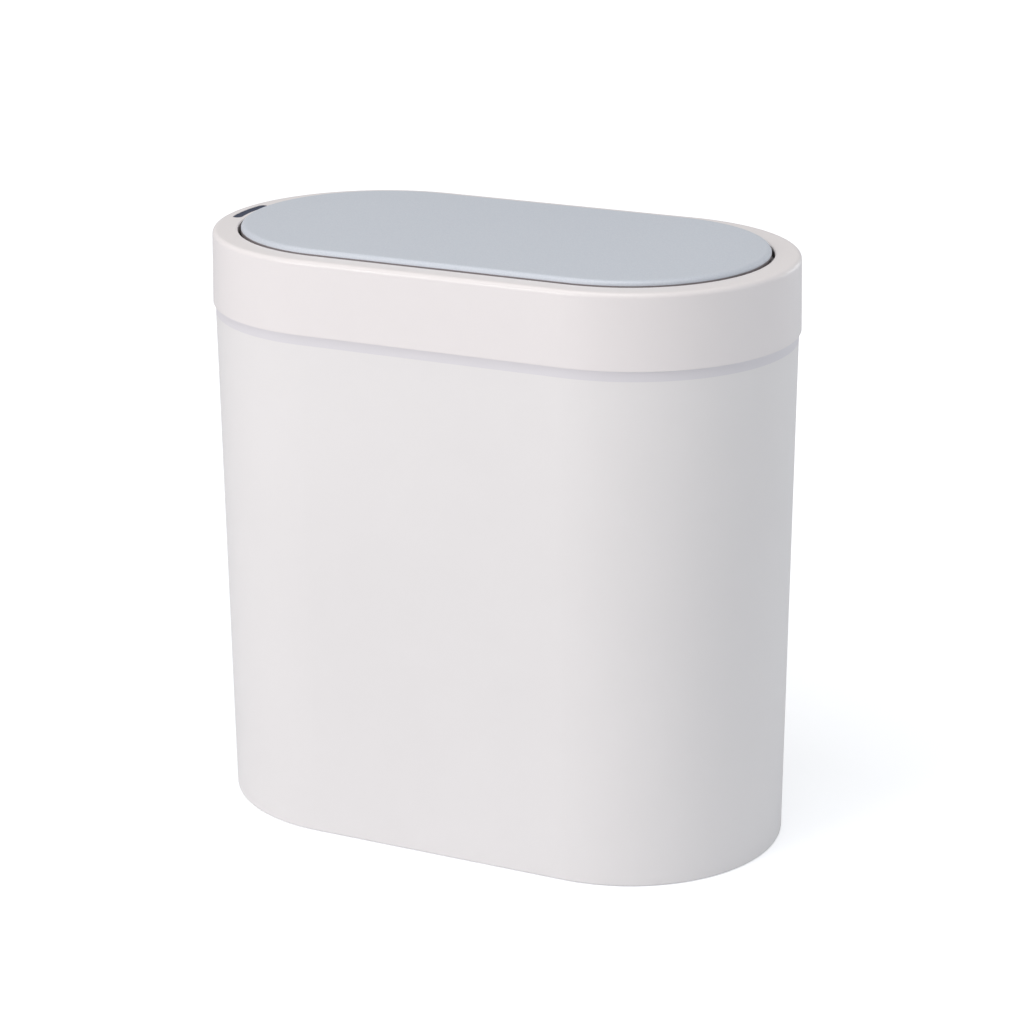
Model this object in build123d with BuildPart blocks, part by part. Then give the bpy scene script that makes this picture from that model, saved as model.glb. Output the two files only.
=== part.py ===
from build123d import *
from math import acos, atan, cos, degrees, pi, radians, sin, sqrt, tan
import os

os.makedirs("parts", exist_ok=True)

# Sensor bin: a slim upright bin whose plan is an obround along X. A lift-off head stands on
# the bucket and carries a motor-driven lid, hinged under its edge at the +X round end. The
# sensor looks up through the rim at the -X round end.

# Driving sizes, in millimetres
straight_length = 139.0     # each straight side, between the two round ends
bucket_radius = 81.8        # outside of the bucket at its top
bucket_taper_depth = 2.4    # how much narrower its foot is, on each side
bucket_wall = 2.0
rim_height = 300.0
head_height = 42.1          # top of the bucket to the rim
band_height = 5.2           # grey band between the bucket and the head
ring_step_width = 1.2       # how far the ring stands out past the band
ring_taper_depth = 0.8      # how much narrower its rim is, on each side
rim_width = 11.0            # flat top of the rim, from its outside to the lid's opening
end_rim_extra = 2.0         # how much wider the rim is at the two round ends
lid_gap = 1.6               # seam round the closed lid
lid_rise = 2.6              # how far the lid stands above the rim
lid_sink = 3.0              # how far its underside lies below the rim
head_wall = 2.2
slide_gap = 0.5             # head's skirt to the inside of the bucket
fit_gap = 0.3               # between pieces that are put together
turn_gap = 0.05             # round a shaft that turns
seat_gap = 0.02             # round a pin that is pushed home
overrun = 1.0               # how far a cut runs past the face that it opens

# Heights and radii that follow
end_distance = straight_length / 2
foot_radius = bucket_radius - bucket_taper_depth
bucket_height = rim_height - head_height
ring_foot_radius = bucket_radius + ring_step_width
rim_radius = ring_foot_radius - ring_taper_depth
band_bottom = bucket_height
plate_top = bucket_height + band_height
opening_radius = rim_radius - rim_width
opening_distance = end_distance - end_rim_extra
lid_radius = opening_radius - lid_gap
lid_top = rim_height + lid_rise


def obround(radius, mode=Mode.ADD):
    """The bin's plan at a radius: two round ends joined by straight sides."""
    return SlotCenterToCenter(2 * end_distance, 2 * radius, mode=mode)


def lid_plan(radius, mode=Mode.ADD):
    """Plan of the lid and its opening at a radius, a little shorter than the bin's."""
    return SlotCenterToCenter(2 * opening_distance, 2 * radius, mode=mode)


def draft(lower_radius, upper_radius, height):
    """Taper in degrees that takes the lower radius to the upper one."""
    return degrees(atan((lower_radius - upper_radius) / height))


def side_plane(y):
    """Plane square to Y whose extrusions run towards -Y, with X across and Z up."""
    return Plane.XZ.offset(-y)


def rect(x0, x1, y0, y1, mode=Mode.ADD):
    """Rectangle between two corners of the sketch plane."""
    with Locations(((x0 + x1) / 2, (y0 + y1) / 2)):
        Rectangle(x1 - x0, y1 - y0, mode=mode)


def polar(centre, radius, angle):
    """Point at a radius and an angle, in degrees, round a centre."""
    return (centre[0] + radius * cos(radians(angle)), centre[1] + radius * sin(radians(angle)))


# Bucket: drafted shell with a foot ring and ribs under its floor
foot_depth = 4.0
foot_width = 3.0
floor_thickness = 2.2
foot_edge = 1.2
floor_blend = 5.0
rib_thickness = 1.8
rib_pitch = 46.0
rib_setback = 0.6
rib_count = 3

floor_top = foot_depth + floor_thickness
bucket_draft = draft(foot_radius, bucket_radius, bucket_height)


def bucket_radius_at(z):
    """Outside radius of the bucket at a height."""
    return foot_radius + (bucket_radius - foot_radius) * z / bucket_height


with BuildPart() as bucket:
    with BuildSketch(Plane.XY):
        obround(foot_radius)
    extrude(amount=bucket_height, taper=bucket_draft)
    fillet(bucket.edges().group_by(Axis.Z)[0], foot_edge)
    with BuildSketch(Plane.XY.offset(floor_top)):
        obround(bucket_radius_at(floor_top) - bucket_wall)
    extrude(amount=bucket_height - floor_top, taper=bucket_draft, mode=Mode.SUBTRACT)
    floor_corner = bucket.edges().filter_by(Plane.XY).filter_by_position(
        Axis.Z, floor_top - seat_gap, floor_top + seat_gap)
    fillet(floor_corner, floor_blend)
    with BuildSketch(Plane.XY):
        obround(foot_radius - foot_width)
    extrude(amount=foot_depth, mode=Mode.SUBTRACT)
    with BuildSketch(Plane.XY.offset(rib_setback)):
        rect(-end_distance - foot_radius, end_distance + foot_radius, -rib_thickness / 2,
             rib_thickness / 2)
        for side in (-1, 1):
            rect(-end_distance, end_distance, side * foot_radius / 2 - rib_thickness / 2,
                 side * foot_radius / 2 + rib_thickness / 2)
        with GridLocations(rib_pitch, 0, rib_count, 1):
            Rectangle(rib_thickness, 2 * foot_radius)
        obround(foot_radius - foot_width / 2, mode=Mode.INTERSECT)
    extrude(amount=foot_depth + floor_thickness / 2 - rib_setback)
bucket.part.label = "bucket"
export_step(bucket.part, "parts/bucket.step")


# Hinge line and gear train, laid out in the X-Z plane
lid_end = opening_distance + lid_radius
hinge_inset = 5.0           # lid's end to the hinge line
hinge_drop = 0.1            # hinge line below the rim
hinge_pin_radius = 0.8
sector_pitch_radius = 12.8  # toothed sector on the lid
wheel_pitch_radius = 8.0    # larger wheels of the two steps before it
sector_teeth = 32
wheel_teeth = 32
pinion_teeth = 10
motor_teeth = 12
tooth_shift_share = 0.4     # of the module: pinions grow by it and wheels shrink by it
pressure_angle = 20.0
root_share = 1.25           # depth of a root below the pitch line, in modules
flank_steps = 3
backlash = 0.12             # taken off each tooth's thickness
sector_angle = 250.0        # from the hinge to the output pinion
idler_angle = 300.0         # from the output gear to the idler
motor_angle = 178.0         # from the idler to the motor
gear_pin_radius = 1.0
hub_radius = 1.6

coarse_module = 2 * sector_pitch_radius / sector_teeth
fine_module = 2 * wheel_pitch_radius / wheel_teeth
hinge = (lid_end - hinge_inset, rim_height - hinge_drop)
output_centre = polar(hinge, coarse_module * (sector_teeth + pinion_teeth) / 2, sector_angle)
idler_centre = polar(output_centre, fine_module * (wheel_teeth + pinion_teeth) / 2, idler_angle)
motor_centre = polar(idler_centre, fine_module * (wheel_teeth + motor_teeth) / 2, motor_angle)


def tip_radius(module, teeth, shift_share):
    """Radius of the tips of a gear's teeth."""
    return module * (teeth / 2 + 1 + shift_share)


def root_radius(module, teeth, shift_share):
    """Radius of the roots between a gear's teeth."""
    return module * (teeth / 2 - root_share + shift_share)


sector_tip = tip_radius(coarse_module, sector_teeth, -tooth_shift_share)
sector_root = root_radius(coarse_module, sector_teeth, -tooth_shift_share)


def tooth_points(centre, module, teeth, shift_share, angle):
    """One tooth's outline round its middle angle: up one involute flank and down the other."""
    pitch_radius = module * teeth / 2
    base_radius = pitch_radius * cos(radians(pressure_angle))
    tip = tip_radius(module, teeth, shift_share)
    root = root_radius(module, teeth, shift_share)
    thickness = module * (pi / 2 + 2 * shift_share * tan(radians(pressure_angle))) - backlash
    half_pitch = thickness / (2 * pitch_radius)
    involute_at_pitch = tan(radians(pressure_angle)) - radians(pressure_angle)
    start = max(base_radius, root)

    def half_angle(radius):
        rolled = acos(min(base_radius / radius, 1))
        return degrees(half_pitch + involute_at_pitch - (tan(rolled) - rolled))

    radii = [start + (tip - start) * step / flank_steps for step in range(flank_steps + 1)]
    rising = [polar(centre, r, angle - half_angle(r)) for r in radii]
    falling = [polar(centre, r, angle + half_angle(r)) for r in reversed(radii)]
    foot_first = polar(centre, root, angle - half_angle(start))
    foot_last = polar(centre, root, angle + half_angle(start))
    return [foot_first] + rising + falling + [foot_last]


def gear_outline(centre, module, teeth, shift_share, first_angle):
    """Closed outline of a whole gear, with one tooth's middle at the first angle."""
    points = []
    for tooth in range(teeth):
        angle = first_angle + 360 * tooth / teeth
        for point in tooth_points(centre, module, teeth, shift_share, angle):
            if not points or (Vector(*point) - Vector(*points[-1])).length > seat_gap:
                points.append(point)
    Polygon(*points, align=None)


def disc(centre, radius, mode=Mode.ADD):
    """Circle round a point of the sketch plane."""
    with Locations(centre):
        Circle(radius, mode=mode)


# Widths of the train along Y: sector and output pinion, output wheel, idler wheel, cover
sector_half = 1.8
pinion_half = 2.2
wheel_width = 2.2
layer_gap = 0.5
case_side_gap = 0.7
case_wall = 1.2
case_inner_low = -pinion_half - case_side_gap
output_wheel_low = pinion_half
output_wheel_high = output_wheel_low + wheel_width
idler_wheel_low = output_wheel_high + layer_gap
idler_wheel_high = idler_wheel_low + wheel_width
case_inner_high = idler_wheel_high + layer_gap + fit_gap
cover_outer = case_inner_high + case_wall
case_outer_low = case_inner_low - case_wall

with BuildPart() as output_gear:
    with BuildSketch(side_plane(pinion_half)):
        gear_outline(output_centre, coarse_module, pinion_teeth, tooth_shift_share, sector_angle - 180)
    extrude(amount=2 * pinion_half)
    with BuildSketch(side_plane(output_wheel_high)):
        gear_outline(output_centre, fine_module, wheel_teeth, -tooth_shift_share, idler_angle)
    extrude(amount=wheel_width)
    with BuildSketch(side_plane(case_inner_high - fit_gap)):
        disc(output_centre, hub_radius)
    extrude(amount=case_inner_high - case_inner_low - 2 * fit_gap)
    with BuildSketch(side_plane(case_inner_high)):
        disc(output_centre, gear_pin_radius + turn_gap)
    extrude(amount=case_inner_high - case_inner_low, mode=Mode.SUBTRACT)
output_gear.part.label = "output_gear"
export_step(output_gear.part, "parts/output_gear.step")

with BuildPart() as idler_gear:
    with BuildSketch(side_plane(idler_wheel_low)):
        gear_outline(idler_centre, fine_module, pinion_teeth, tooth_shift_share,
                     idler_angle + 180 + 180 / pinion_teeth)
    extrude(amount=idler_wheel_low - output_wheel_low)
    with BuildSketch(side_plane(idler_wheel_high)):
        gear_outline(idler_centre, fine_module, wheel_teeth, -tooth_shift_share, motor_angle)
    extrude(amount=wheel_width)
    with BuildSketch(side_plane(case_inner_high - fit_gap)):
        disc(idler_centre, hub_radius)
    extrude(amount=case_inner_high - case_inner_low - 2 * fit_gap)
    with BuildSketch(side_plane(case_inner_high)):
        disc(idler_centre, gear_pin_radius + turn_gap)
    extrude(amount=case_inner_high - case_inner_low, mode=Mode.SUBTRACT)
idler_gear.part.label = "idler_gear"
export_step(idler_gear.part, "parts/idler_gear.step")

with BuildPart() as gear_pins:
    with BuildSketch(side_plane(cover_outer)):
        disc(output_centre, gear_pin_radius)
        disc(idler_centre, gear_pin_radius)
    extrude(amount=cover_outer - case_outer_low)
gear_pins.part.label = "gear_pins"
export_step(gear_pins.part, "parts/gear_pins.step")


# Gear motor: flat-sided can with its reduction box in front, bolted to the case cover
motor_width = 12.0
motor_height = 10.0
motor_box_length = 9.0
motor_can_length = 15.0
motor_shaft_radius = 1.5
motor_shaft_flat = 0.5
motor_shaft_seat = 3.0      # how far the shaft runs into the reduction box
motor_cap_radius = 3.0
motor_cap_length = 1.2

motor_low = cover_outer
motor_middle = motor_low + motor_box_length
motor_high = motor_middle + motor_can_length
shaft_tip = idler_wheel_low - layer_gap / 2

with BuildPart() as gear_motor:
    with BuildSketch(side_plane(motor_middle)):
        with Locations(motor_centre):
            Rectangle(motor_width, motor_height)
    extrude(amount=motor_box_length)
    with BuildSketch(side_plane(motor_high)):
        disc(motor_centre, motor_width / 2)
        with Locations(motor_centre):
            Rectangle(motor_width, motor_height, mode=Mode.INTERSECT)
    extrude(amount=motor_can_length)
    with BuildSketch(side_plane(motor_high + motor_cap_length)):
        disc(motor_centre, motor_cap_radius)
    extrude(amount=motor_cap_length)
    with BuildSketch(side_plane(motor_low + motor_shaft_seat + fit_gap)):
        disc(motor_centre, motor_shaft_radius + turn_gap)
    extrude(amount=motor_shaft_seat + fit_gap, mode=Mode.SUBTRACT)
gear_motor.part.label = "gear_motor"
export_step(gear_motor.part, "parts/gear_motor.step")

with BuildPart() as motor_shaft:
    with BuildSketch(side_plane(motor_low + motor_shaft_seat)):
        disc(motor_centre, motor_shaft_radius)
    extrude(amount=motor_low + motor_shaft_seat - shaft_tip)
    with BuildSketch(side_plane(case_inner_high)):
        flat_at = motor_centre[1] + motor_shaft_radius - motor_shaft_flat
        rect(motor_centre[0] - motor_shaft_radius, motor_centre[0] + motor_shaft_radius, flat_at,
             motor_centre[1] + motor_shaft_radius)
    extrude(amount=case_inner_high - shaft_tip, mode=Mode.SUBTRACT)
motor_shaft.part.label = "motor_shaft"
export_step(motor_shaft.part, "parts/motor_shaft.step")

with BuildPart() as motor_pinion:
    with BuildSketch(side_plane(idler_wheel_high + layer_gap / 2)):
        gear_outline(motor_centre, fine_module, motor_teeth, tooth_shift_share,
                     motor_angle + 180 + 180 / motor_teeth)
        disc(motor_centre, motor_shaft_radius + seat_gap, mode=Mode.SUBTRACT)
        rect(motor_centre[0] - motor_shaft_radius, motor_centre[0] + motor_shaft_radius,
             flat_at + seat_gap, motor_centre[1] + motor_shaft_radius + seat_gap)
    extrude(amount=idler_wheel_high + layer_gap - idler_wheel_low)
motor_pinion.part.label = "motor_pinion"
export_step(motor_pinion.part, "parts/motor_pinion.step")


# Heights of the mechanism bay under the hinge end of the lid
bay_length = 51.2           # hinge line back to the bay's wall towards the mouth
plate_thickness = 1.6
bay_wall = 1.2
board_thickness = 1.6       # both circuit boards
deck_thickness = 1.2
deck_drop = 6.0             # top of the deck below the rim
rim_thickness = 1.8
channel_wall = 1.6          # wall between the mouth and the hollow of the ring

bay_face = hinge[0] - bay_length
plate_bottom = plate_top - plate_thickness
deck_top = rim_height - deck_drop
deck_bottom = deck_top - deck_thickness
rim_underside = rim_height - rim_thickness
channel_inner = opening_radius + channel_wall
ring_draft = draft(ring_foot_radius, rim_radius, rim_height - plate_top)
deck_radius = channel_inner - 2 * fit_gap


def ring_radius_at(z):
    """Outside radius of the head's ring at a height."""
    return ring_foot_radius + (rim_radius - ring_foot_radius) * (z - plate_top) / (rim_height - plate_top)


# Gear case: tray with its bosses on the -Y side and a flat cover on the +Y side
case_clear = 0.5
case_corner = 2.6
case_back_length = 14.2     # hinge line to the two lower corners
case_front_length = 10.3
case_shoulder_length = 15.1 # hinge line to the upper corner towards the mouth
case_shoulder_drop = 2.7    # that corner's middle below the deck
case_screw_radius = 1.0
case_boss_radius = 2.2

case_foot_low = hinge[0] - case_back_length
case_foot_high = hinge[0] + case_front_length
case_shoulder = hinge[0] - case_shoulder_length
case_corners = [(case_foot_low, plate_top + case_corner), (case_foot_high, plate_top + case_corner),
                (case_shoulder, deck_bottom - case_shoulder_drop)]
sector_reach = sqrt((sector_tip + case_clear) ** 2 - (hinge[1] - deck_bottom) ** 2)
case_end = (hinge[0] + sector_reach + case_wall - case_corner, deck_bottom)


def case_outline(inset):
    """Outline of the gear case, drawn tight round its gears and its screw bosses."""
    for corner in case_corners + [case_end]:
        disc(corner, case_corner - inset)
    make_hull()
    if inset:
        disc(hinge, sector_tip + case_clear)
    rect(case_shoulder - 2 * case_corner, case_foot_high + 2 * case_corner, plate_top,
         deck_bottom, mode=Mode.INTERSECT)


with BuildPart() as gear_case:
    with BuildSketch(side_plane(case_inner_high)):
        case_outline(0)
    extrude(amount=case_inner_high - case_outer_low)
    with BuildSketch(side_plane(case_inner_high)):
        case_outline(case_wall)
    extrude(amount=case_inner_high - case_inner_low, mode=Mode.SUBTRACT)
    with BuildSketch(side_plane(case_inner_high)):
        for corner in case_corners:
            disc(corner, case_boss_radius)
    extrude(amount=case_inner_high - case_inner_low)
    with BuildSketch(side_plane(case_inner_high)):
        for corner in case_corners:
            disc(corner, case_screw_radius)
    extrude(amount=case_inner_high - case_inner_low - case_wall, mode=Mode.SUBTRACT)
    with BuildSketch(side_plane(case_inner_low)):
        disc(output_centre, gear_pin_radius + seat_gap)
        disc(idler_centre, gear_pin_radius + seat_gap)
    extrude(amount=case_wall, mode=Mode.SUBTRACT)
gear_case.part.label = "gear_case"
export_step(gear_case.part, "parts/gear_case.step")

with BuildPart() as gear_case_cover:
    with BuildSketch(side_plane(cover_outer)):
        case_outline(0)
        for corner in case_corners:
            disc(corner, case_screw_radius + seat_gap, mode=Mode.SUBTRACT)
        disc(output_centre, gear_pin_radius + seat_gap, mode=Mode.SUBTRACT)
        disc(idler_centre, gear_pin_radius + seat_gap, mode=Mode.SUBTRACT)
        disc(motor_centre, motor_shaft_radius + fit_gap, mode=Mode.SUBTRACT)
    extrude(amount=case_wall)
gear_case_cover.part.label = "gear_case_cover"
export_step(gear_case_cover.part, "parts/gear_case_cover.step")

case_head_radius = 1.9
case_head_height = 1.3
with BuildPart() as gear_case_screws:
    with BuildSketch(side_plane(cover_outer + case_head_height)):
        for corner in case_corners:
            disc(corner, case_head_radius)
    extrude(amount=case_head_height)
    with BuildSketch(side_plane(cover_outer)):
        for corner in case_corners:
            disc(corner, case_screw_radius - seat_gap)
    extrude(amount=cover_outer - case_inner_low - 2 * case_wall)
gear_case_screws.part.label = "gear_case_screws"
export_step(gear_case_screws.part, "parts/gear_case_screws.step")


# Head ring: white upper shell with the rim, its inner wall, screw bosses and lid stops
ring_edge = 2.4             # rounding of the rim's outer edge
opening_edge = 0.5          # bevel round the lid's opening
opening_bevel = 45.0
boss_radius = 2.6
boss_hole = 1.25
boss_inset = 0.3            # how far a boss runs into the ring's inner wall
frame_screw_length = 9.0
stop_inset_length = 9.5     # round end's centre to the stop
stop_length = 10.0
stop_reach = 7.5
stop_thickness = 1.5
stop_depth = 9.0
bumper_height = 2.0
window_radius_share = 0.26  # window's middle line across the rim, from the opening outwards
window_width = 5.0
window_length = 31.0
window_lip = 1.0            # how far the window's flange reaches past its slot
window_step = 1.0           # thickness of that flange
side_boss_share = 0.58      # of the straight side, from its middle
sensor_end_boss_angle = 48.0
hinge_end_boss_angle = 52.0
sensor_boss_angle = 15.0
sensor_boss_radius = 2.4
sensor_screw_hole = 0.8
holder_depth = 5.2          # light wells between the window and the sensor board
holder_ear = 1.6

stop_x = stop_inset_length - end_distance
side_boss_x = end_distance * side_boss_share
boss_circle = channel_inner - boss_inset + boss_radius
window_circle = opening_radius + rim_width * window_radius_share
window_arc = degrees((window_length - window_width) / window_circle)
lid_underside = rim_height - lid_sink
stop_top = lid_underside - bumper_height - fit_gap
bosses = [(x, y) for x in (-side_boss_x, side_boss_x) for y in (-boss_circle, boss_circle)]
for turn in (-1, 1):
    bosses.append(polar((-opening_distance, 0), boss_circle, 180 + turn * sensor_end_boss_angle))
    bosses.append(polar((opening_distance, 0), boss_circle, turn * hinge_end_boss_angle))
holder_bottom = rim_underside - window_step - holder_depth
sensor_bosses = [polar((-end_distance, 0), boss_circle, 180 + turn * sensor_boss_angle)
                 for turn in (-1, 1)]


def sensor_arc(radius, arc_degrees, width, mode=Mode.ADD):
    """Round-ended slot along an arc of the rim, centred on the middle of the sensor end."""
    path = CenterArc((-end_distance, 0), radius, 180 - arc_degrees / 2, arc_degrees, mode=Mode.PRIVATE)
    return SlotArc(path, width, mode=mode)


with BuildPart() as head_ring:
    with BuildSketch(Plane.XY.offset(plate_top)):
        obround(ring_foot_radius)
    extrude(amount=rim_height - plate_top, taper=ring_draft)
    fillet(head_ring.edges().group_by(Axis.Z)[-1], ring_edge)
    with BuildSketch(Plane.XY.offset(plate_top)):
        obround(ring_foot_radius - head_wall)
    extrude(amount=rim_underside - plate_top, taper=ring_draft, mode=Mode.SUBTRACT)
    with BuildSketch(Plane.XY.offset(plate_top)):
        lid_plan(channel_inner)
        rect(-2 * end_distance - foot_radius, bay_face, -foot_radius, foot_radius, mode=Mode.INTERSECT)
        lid_plan(opening_radius, mode=Mode.SUBTRACT)
        for boss in bosses:
            disc(boss, boss_radius)
    extrude(amount=rim_height - rim_thickness / 2 - plate_top)
    with BuildSketch(Plane.XY.offset(holder_bottom + holder_ear)):
        for boss in sensor_bosses:
            disc(boss, sensor_boss_radius)
    extrude(amount=rim_underside + rim_thickness / 2 - holder_bottom - holder_ear)
    with BuildSketch(Plane.XY.offset(rim_underside - overrun)):
        lid_plan(opening_radius)
    extrude(amount=rim_thickness + 2 * overrun, mode=Mode.SUBTRACT)
    with BuildSketch(Plane.XY.offset(rim_height - opening_edge)):
        lid_plan(opening_radius)
    extrude(amount=2 * opening_edge, taper=-opening_bevel, mode=Mode.SUBTRACT)
    with BuildSketch(Plane.XY.offset(rim_underside - overrun)):
        sensor_arc(window_circle, window_arc, window_width)
    extrude(amount=rim_thickness + 2 * overrun, mode=Mode.SUBTRACT)
    with BuildSketch(Plane.XY.offset(plate_top)):
        for boss in bosses:
            disc(boss, boss_hole)
    extrude(amount=frame_screw_length, mode=Mode.SUBTRACT)
    with BuildSketch(Plane.XY.offset(holder_bottom + holder_ear)):
        for boss in sensor_bosses:
            disc(boss, sensor_screw_hole)
    extrude(amount=holder_depth - holder_ear, mode=Mode.SUBTRACT)
    for side in (-1, 1):
        with BuildSketch(Plane.YZ.offset(stop_x - stop_length / 2)):
            reach = opening_radius - stop_reach
            Polygon((side * (opening_radius + channel_wall / 2), stop_top), (side * reach, stop_top),
                    (side * reach, stop_top - stop_thickness),
                    (side * (opening_radius + channel_wall / 2), stop_top - stop_depth), align=None)
        extrude(amount=stop_length)
head_ring.part.label = "head_ring"
export_step(head_ring.part, "parts/head_ring.step")


# Lower frame of the head: grey band, skirt, floor of the mechanism bay and battery bay
skirt_depth = 14.0
skirt_wall = 1.6
band_wall = 2.5
lip_height = 3.0
lip_wall = 1.2
screw_hole = 1.7
cell_radius = 7.25
cell_length = 48.0          # can of one AA cell
cell_nub_radius = 2.75
cell_nub_length = 1.2
cell_gap = 0.7              # between the two cells
contact_room = 3.4          # at each end of a cell, for its spring or plate
bay_rib_height = 15.5
bay_rib_wall = 1.2
door_thickness = 1.6
door_pin_radius = 0.9
door_lug_radius = 2.1
door_lug_width = 3.0
door_arm_width = 4.0
door_axis_drop = 1.5        # door's hinge line below the underside of the floor
post_radius = 3.0
deck_screw_hole = 1.0
board_setback = 4.5         # main board to the bay's wall, and to the battery bay
board_length = 22.0
board_width = 26.5          # along Y
board_lift = 7.0            # underside of the board above the floor
board_post_radius = 2.2
board_post_inset = 2.6      # post's middle from the board's edges
board_screw_hole = 0.8
lead_radius = 0.9
lead_notch = 5.0

band_outer = bucket_radius
skirt_outer = bucket_radius - bucket_wall - slide_gap
cell_middle = (bay_face + bay_wall + 2 * fit_gap + cell_radius,
               bay_face + bay_wall + 2 * fit_gap + 3 * cell_radius + cell_gap)
cell_axis_z = plate_top + fit_gap + cell_radius
bay_low = bay_face + bay_wall
bay_high = cell_middle[1] + cell_radius + fit_gap
bay_half = cell_length / 2 + contact_room
door_low = bay_low + fit_gap
door_high = bay_high - fit_gap
door_half = bay_half - fit_gap
door_axis = (bay_high + door_lug_radius / 2, plate_bottom - door_axis_drop)
lug_y = door_half - door_arm_width - fit_gap - door_lug_width / 2
deck_posts = []
for side in (-1, 1):
    deck_posts.append((bay_low + 2 * post_radius, side * (deck_radius - 3 * post_radius)))
    deck_posts.append(polar((opening_distance, 0), deck_radius - 2 * post_radius,
                            side * sensor_end_boss_angle))
board_low = bay_face + board_setback
board_high = board_low + board_length
board_near = bay_half + board_setback
board_far = board_near + board_width
board_bottom = plate_top + board_lift
board_top = board_bottom + board_thickness
board_posts = [(x, y) for x in (board_low + board_post_inset, board_high - board_post_inset)
               for y in (board_near + board_post_inset, board_far - board_post_inset)]
header_height = 4.8
lead_z = board_top + header_height / 2
lead_x = board_low + 2 * board_post_inset + lead_notch / 2

with BuildPart() as head_frame:
    with BuildSketch(Plane.XY.offset(plate_bottom)):
        obround(band_outer)
    extrude(amount=plate_thickness)
    with BuildSketch(Plane.XY.offset(band_bottom)):
        obround(band_outer)
        obround(band_outer - band_wall, mode=Mode.SUBTRACT)
    extrude(amount=band_height - plate_thickness / 2)
    with BuildSketch(Plane.XY.offset(bucket_height - skirt_depth)):
        obround(skirt_outer)
        obround(skirt_outer - skirt_wall, mode=Mode.SUBTRACT)
    extrude(amount=skirt_depth + band_height - plate_thickness / 2)
    with BuildSketch(Plane.XY.offset(plate_top)):
        obround(ring_foot_radius - head_wall - fit_gap)
        obround(ring_foot_radius - head_wall - fit_gap - lip_wall, mode=Mode.SUBTRACT)
        for boss in bosses:
            disc(boss, boss_radius + fit_gap, mode=Mode.SUBTRACT)
    extrude(amount=lip_height, taper=ring_draft)
    with BuildSketch(Plane.XY.offset(plate_bottom - overrun)):
        lid_plan(opening_radius)
        rect(-2 * end_distance - foot_radius, bay_face, -foot_radius, foot_radius, mode=Mode.INTERSECT)
    extrude(amount=plate_thickness + 2 * overrun, mode=Mode.SUBTRACT)
    with BuildSketch(Plane.XY.offset(plate_top - plate_thickness / 2)):
        rect(bay_face, bay_low, -foot_radius, foot_radius)
        lid_plan(opening_radius - fit_gap, mode=Mode.INTERSECT)
    extrude(amount=deck_bottom - plate_top + plate_thickness / 2)
    with BuildSketch(Plane.XY.offset(plate_top - plate_thickness / 2)):
        rect(bay_low - bay_wall / 2, bay_high + bay_rib_wall, -bay_half - bay_wall, bay_half + bay_wall)
        rect(bay_low, bay_high, -bay_half, bay_half, mode=Mode.SUBTRACT)
    extrude(amount=bay_rib_height + plate_thickness / 2)
    with BuildSketch(Plane.XY.offset(plate_top - plate_thickness / 2)):
        for post in deck_posts:
            disc(post, post_radius)
    extrude(amount=deck_bottom - plate_top + plate_thickness / 2)
    with BuildSketch(Plane.XY.offset(plate_bottom - overrun)):
        rect(bay_low, bay_high, -bay_half, bay_half)
    extrude(amount=plate_thickness + 2 * overrun, mode=Mode.SUBTRACT)
    with BuildSketch(Plane.XY.offset(lead_z - lead_notch / 2)):
        rect(lead_x - lead_notch / 2, lead_x + lead_notch / 2, bay_half - overrun,
             bay_half + bay_wall + overrun)
    extrude(amount=bay_rib_height, mode=Mode.SUBTRACT)
    with BuildSketch(Plane.XY.offset(plate_top - plate_thickness / 2)):
        for post in board_posts:
            disc(post, board_post_radius)
    extrude(amount=board_lift + plate_thickness / 2)
    with BuildSketch(Plane.XY.offset(plate_top + board_lift)):
        for post in board_posts:
            disc(post, board_screw_hole)
    extrude(amount=-board_lift, mode=Mode.SUBTRACT)
    for side in (-1, 1):
        with BuildSketch(side_plane(side * lug_y + door_lug_width / 2)):
            disc(door_axis, door_lug_radius)
            rect(door_axis[0] - door_lug_radius / 2, door_axis[0] + door_lug_radius, door_axis[1],
                 plate_bottom + plate_thickness / 2)
            rect(door_high + fit_gap, door_axis[0] + 2 * door_lug_radius,
                 door_axis[1] - 2 * door_lug_radius, plate_top, mode=Mode.INTERSECT)
            disc(door_axis, door_pin_radius + turn_gap, mode=Mode.SUBTRACT)
        extrude(amount=door_lug_width)
    with BuildSketch(Plane.XY.offset(plate_bottom - overrun)):
        for boss in bosses:
            disc(boss, screw_hole)
    extrude(amount=plate_thickness + 2 * overrun, mode=Mode.SUBTRACT)
    with BuildSketch(Plane.XY.offset(deck_bottom)):
        for post in deck_posts:
            disc(post, deck_screw_hole)
    extrude(amount=-frame_screw_length, mode=Mode.SUBTRACT)
head_frame.part.label = "head_frame"
export_step(head_frame.part, "parts/head_frame.step")


# Screws that hold the frame to the ring, from below
def screws(places, top, head_radius, head_height, shank_radius, shank_length, down=1):
    """Pan-head screws whose heads lie on a face, with their shanks running away from them."""
    with BuildSketch(Plane.XY.offset(top)) as heads:
        for place in places:
            disc(place, head_radius)
    extrude(heads.sketch, amount=down * head_height)
    with BuildSketch(Plane.XY.offset(top)) as shanks:
        for place in places:
            disc(place, shank_radius)
    extrude(shanks.sketch, amount=-down * shank_length)


frame_screw_head = 2.4
frame_screw_head_height = 1.6
with BuildPart() as frame_screws:
    screws(bosses, plate_bottom, frame_screw_head, frame_screw_head_height, boss_hole - seat_gap,
           plate_thickness + frame_screw_length - fit_gap, down=-1)
frame_screws.part.label = "frame_screws"
export_step(frame_screws.part, "parts/frame_screws.step")


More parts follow.
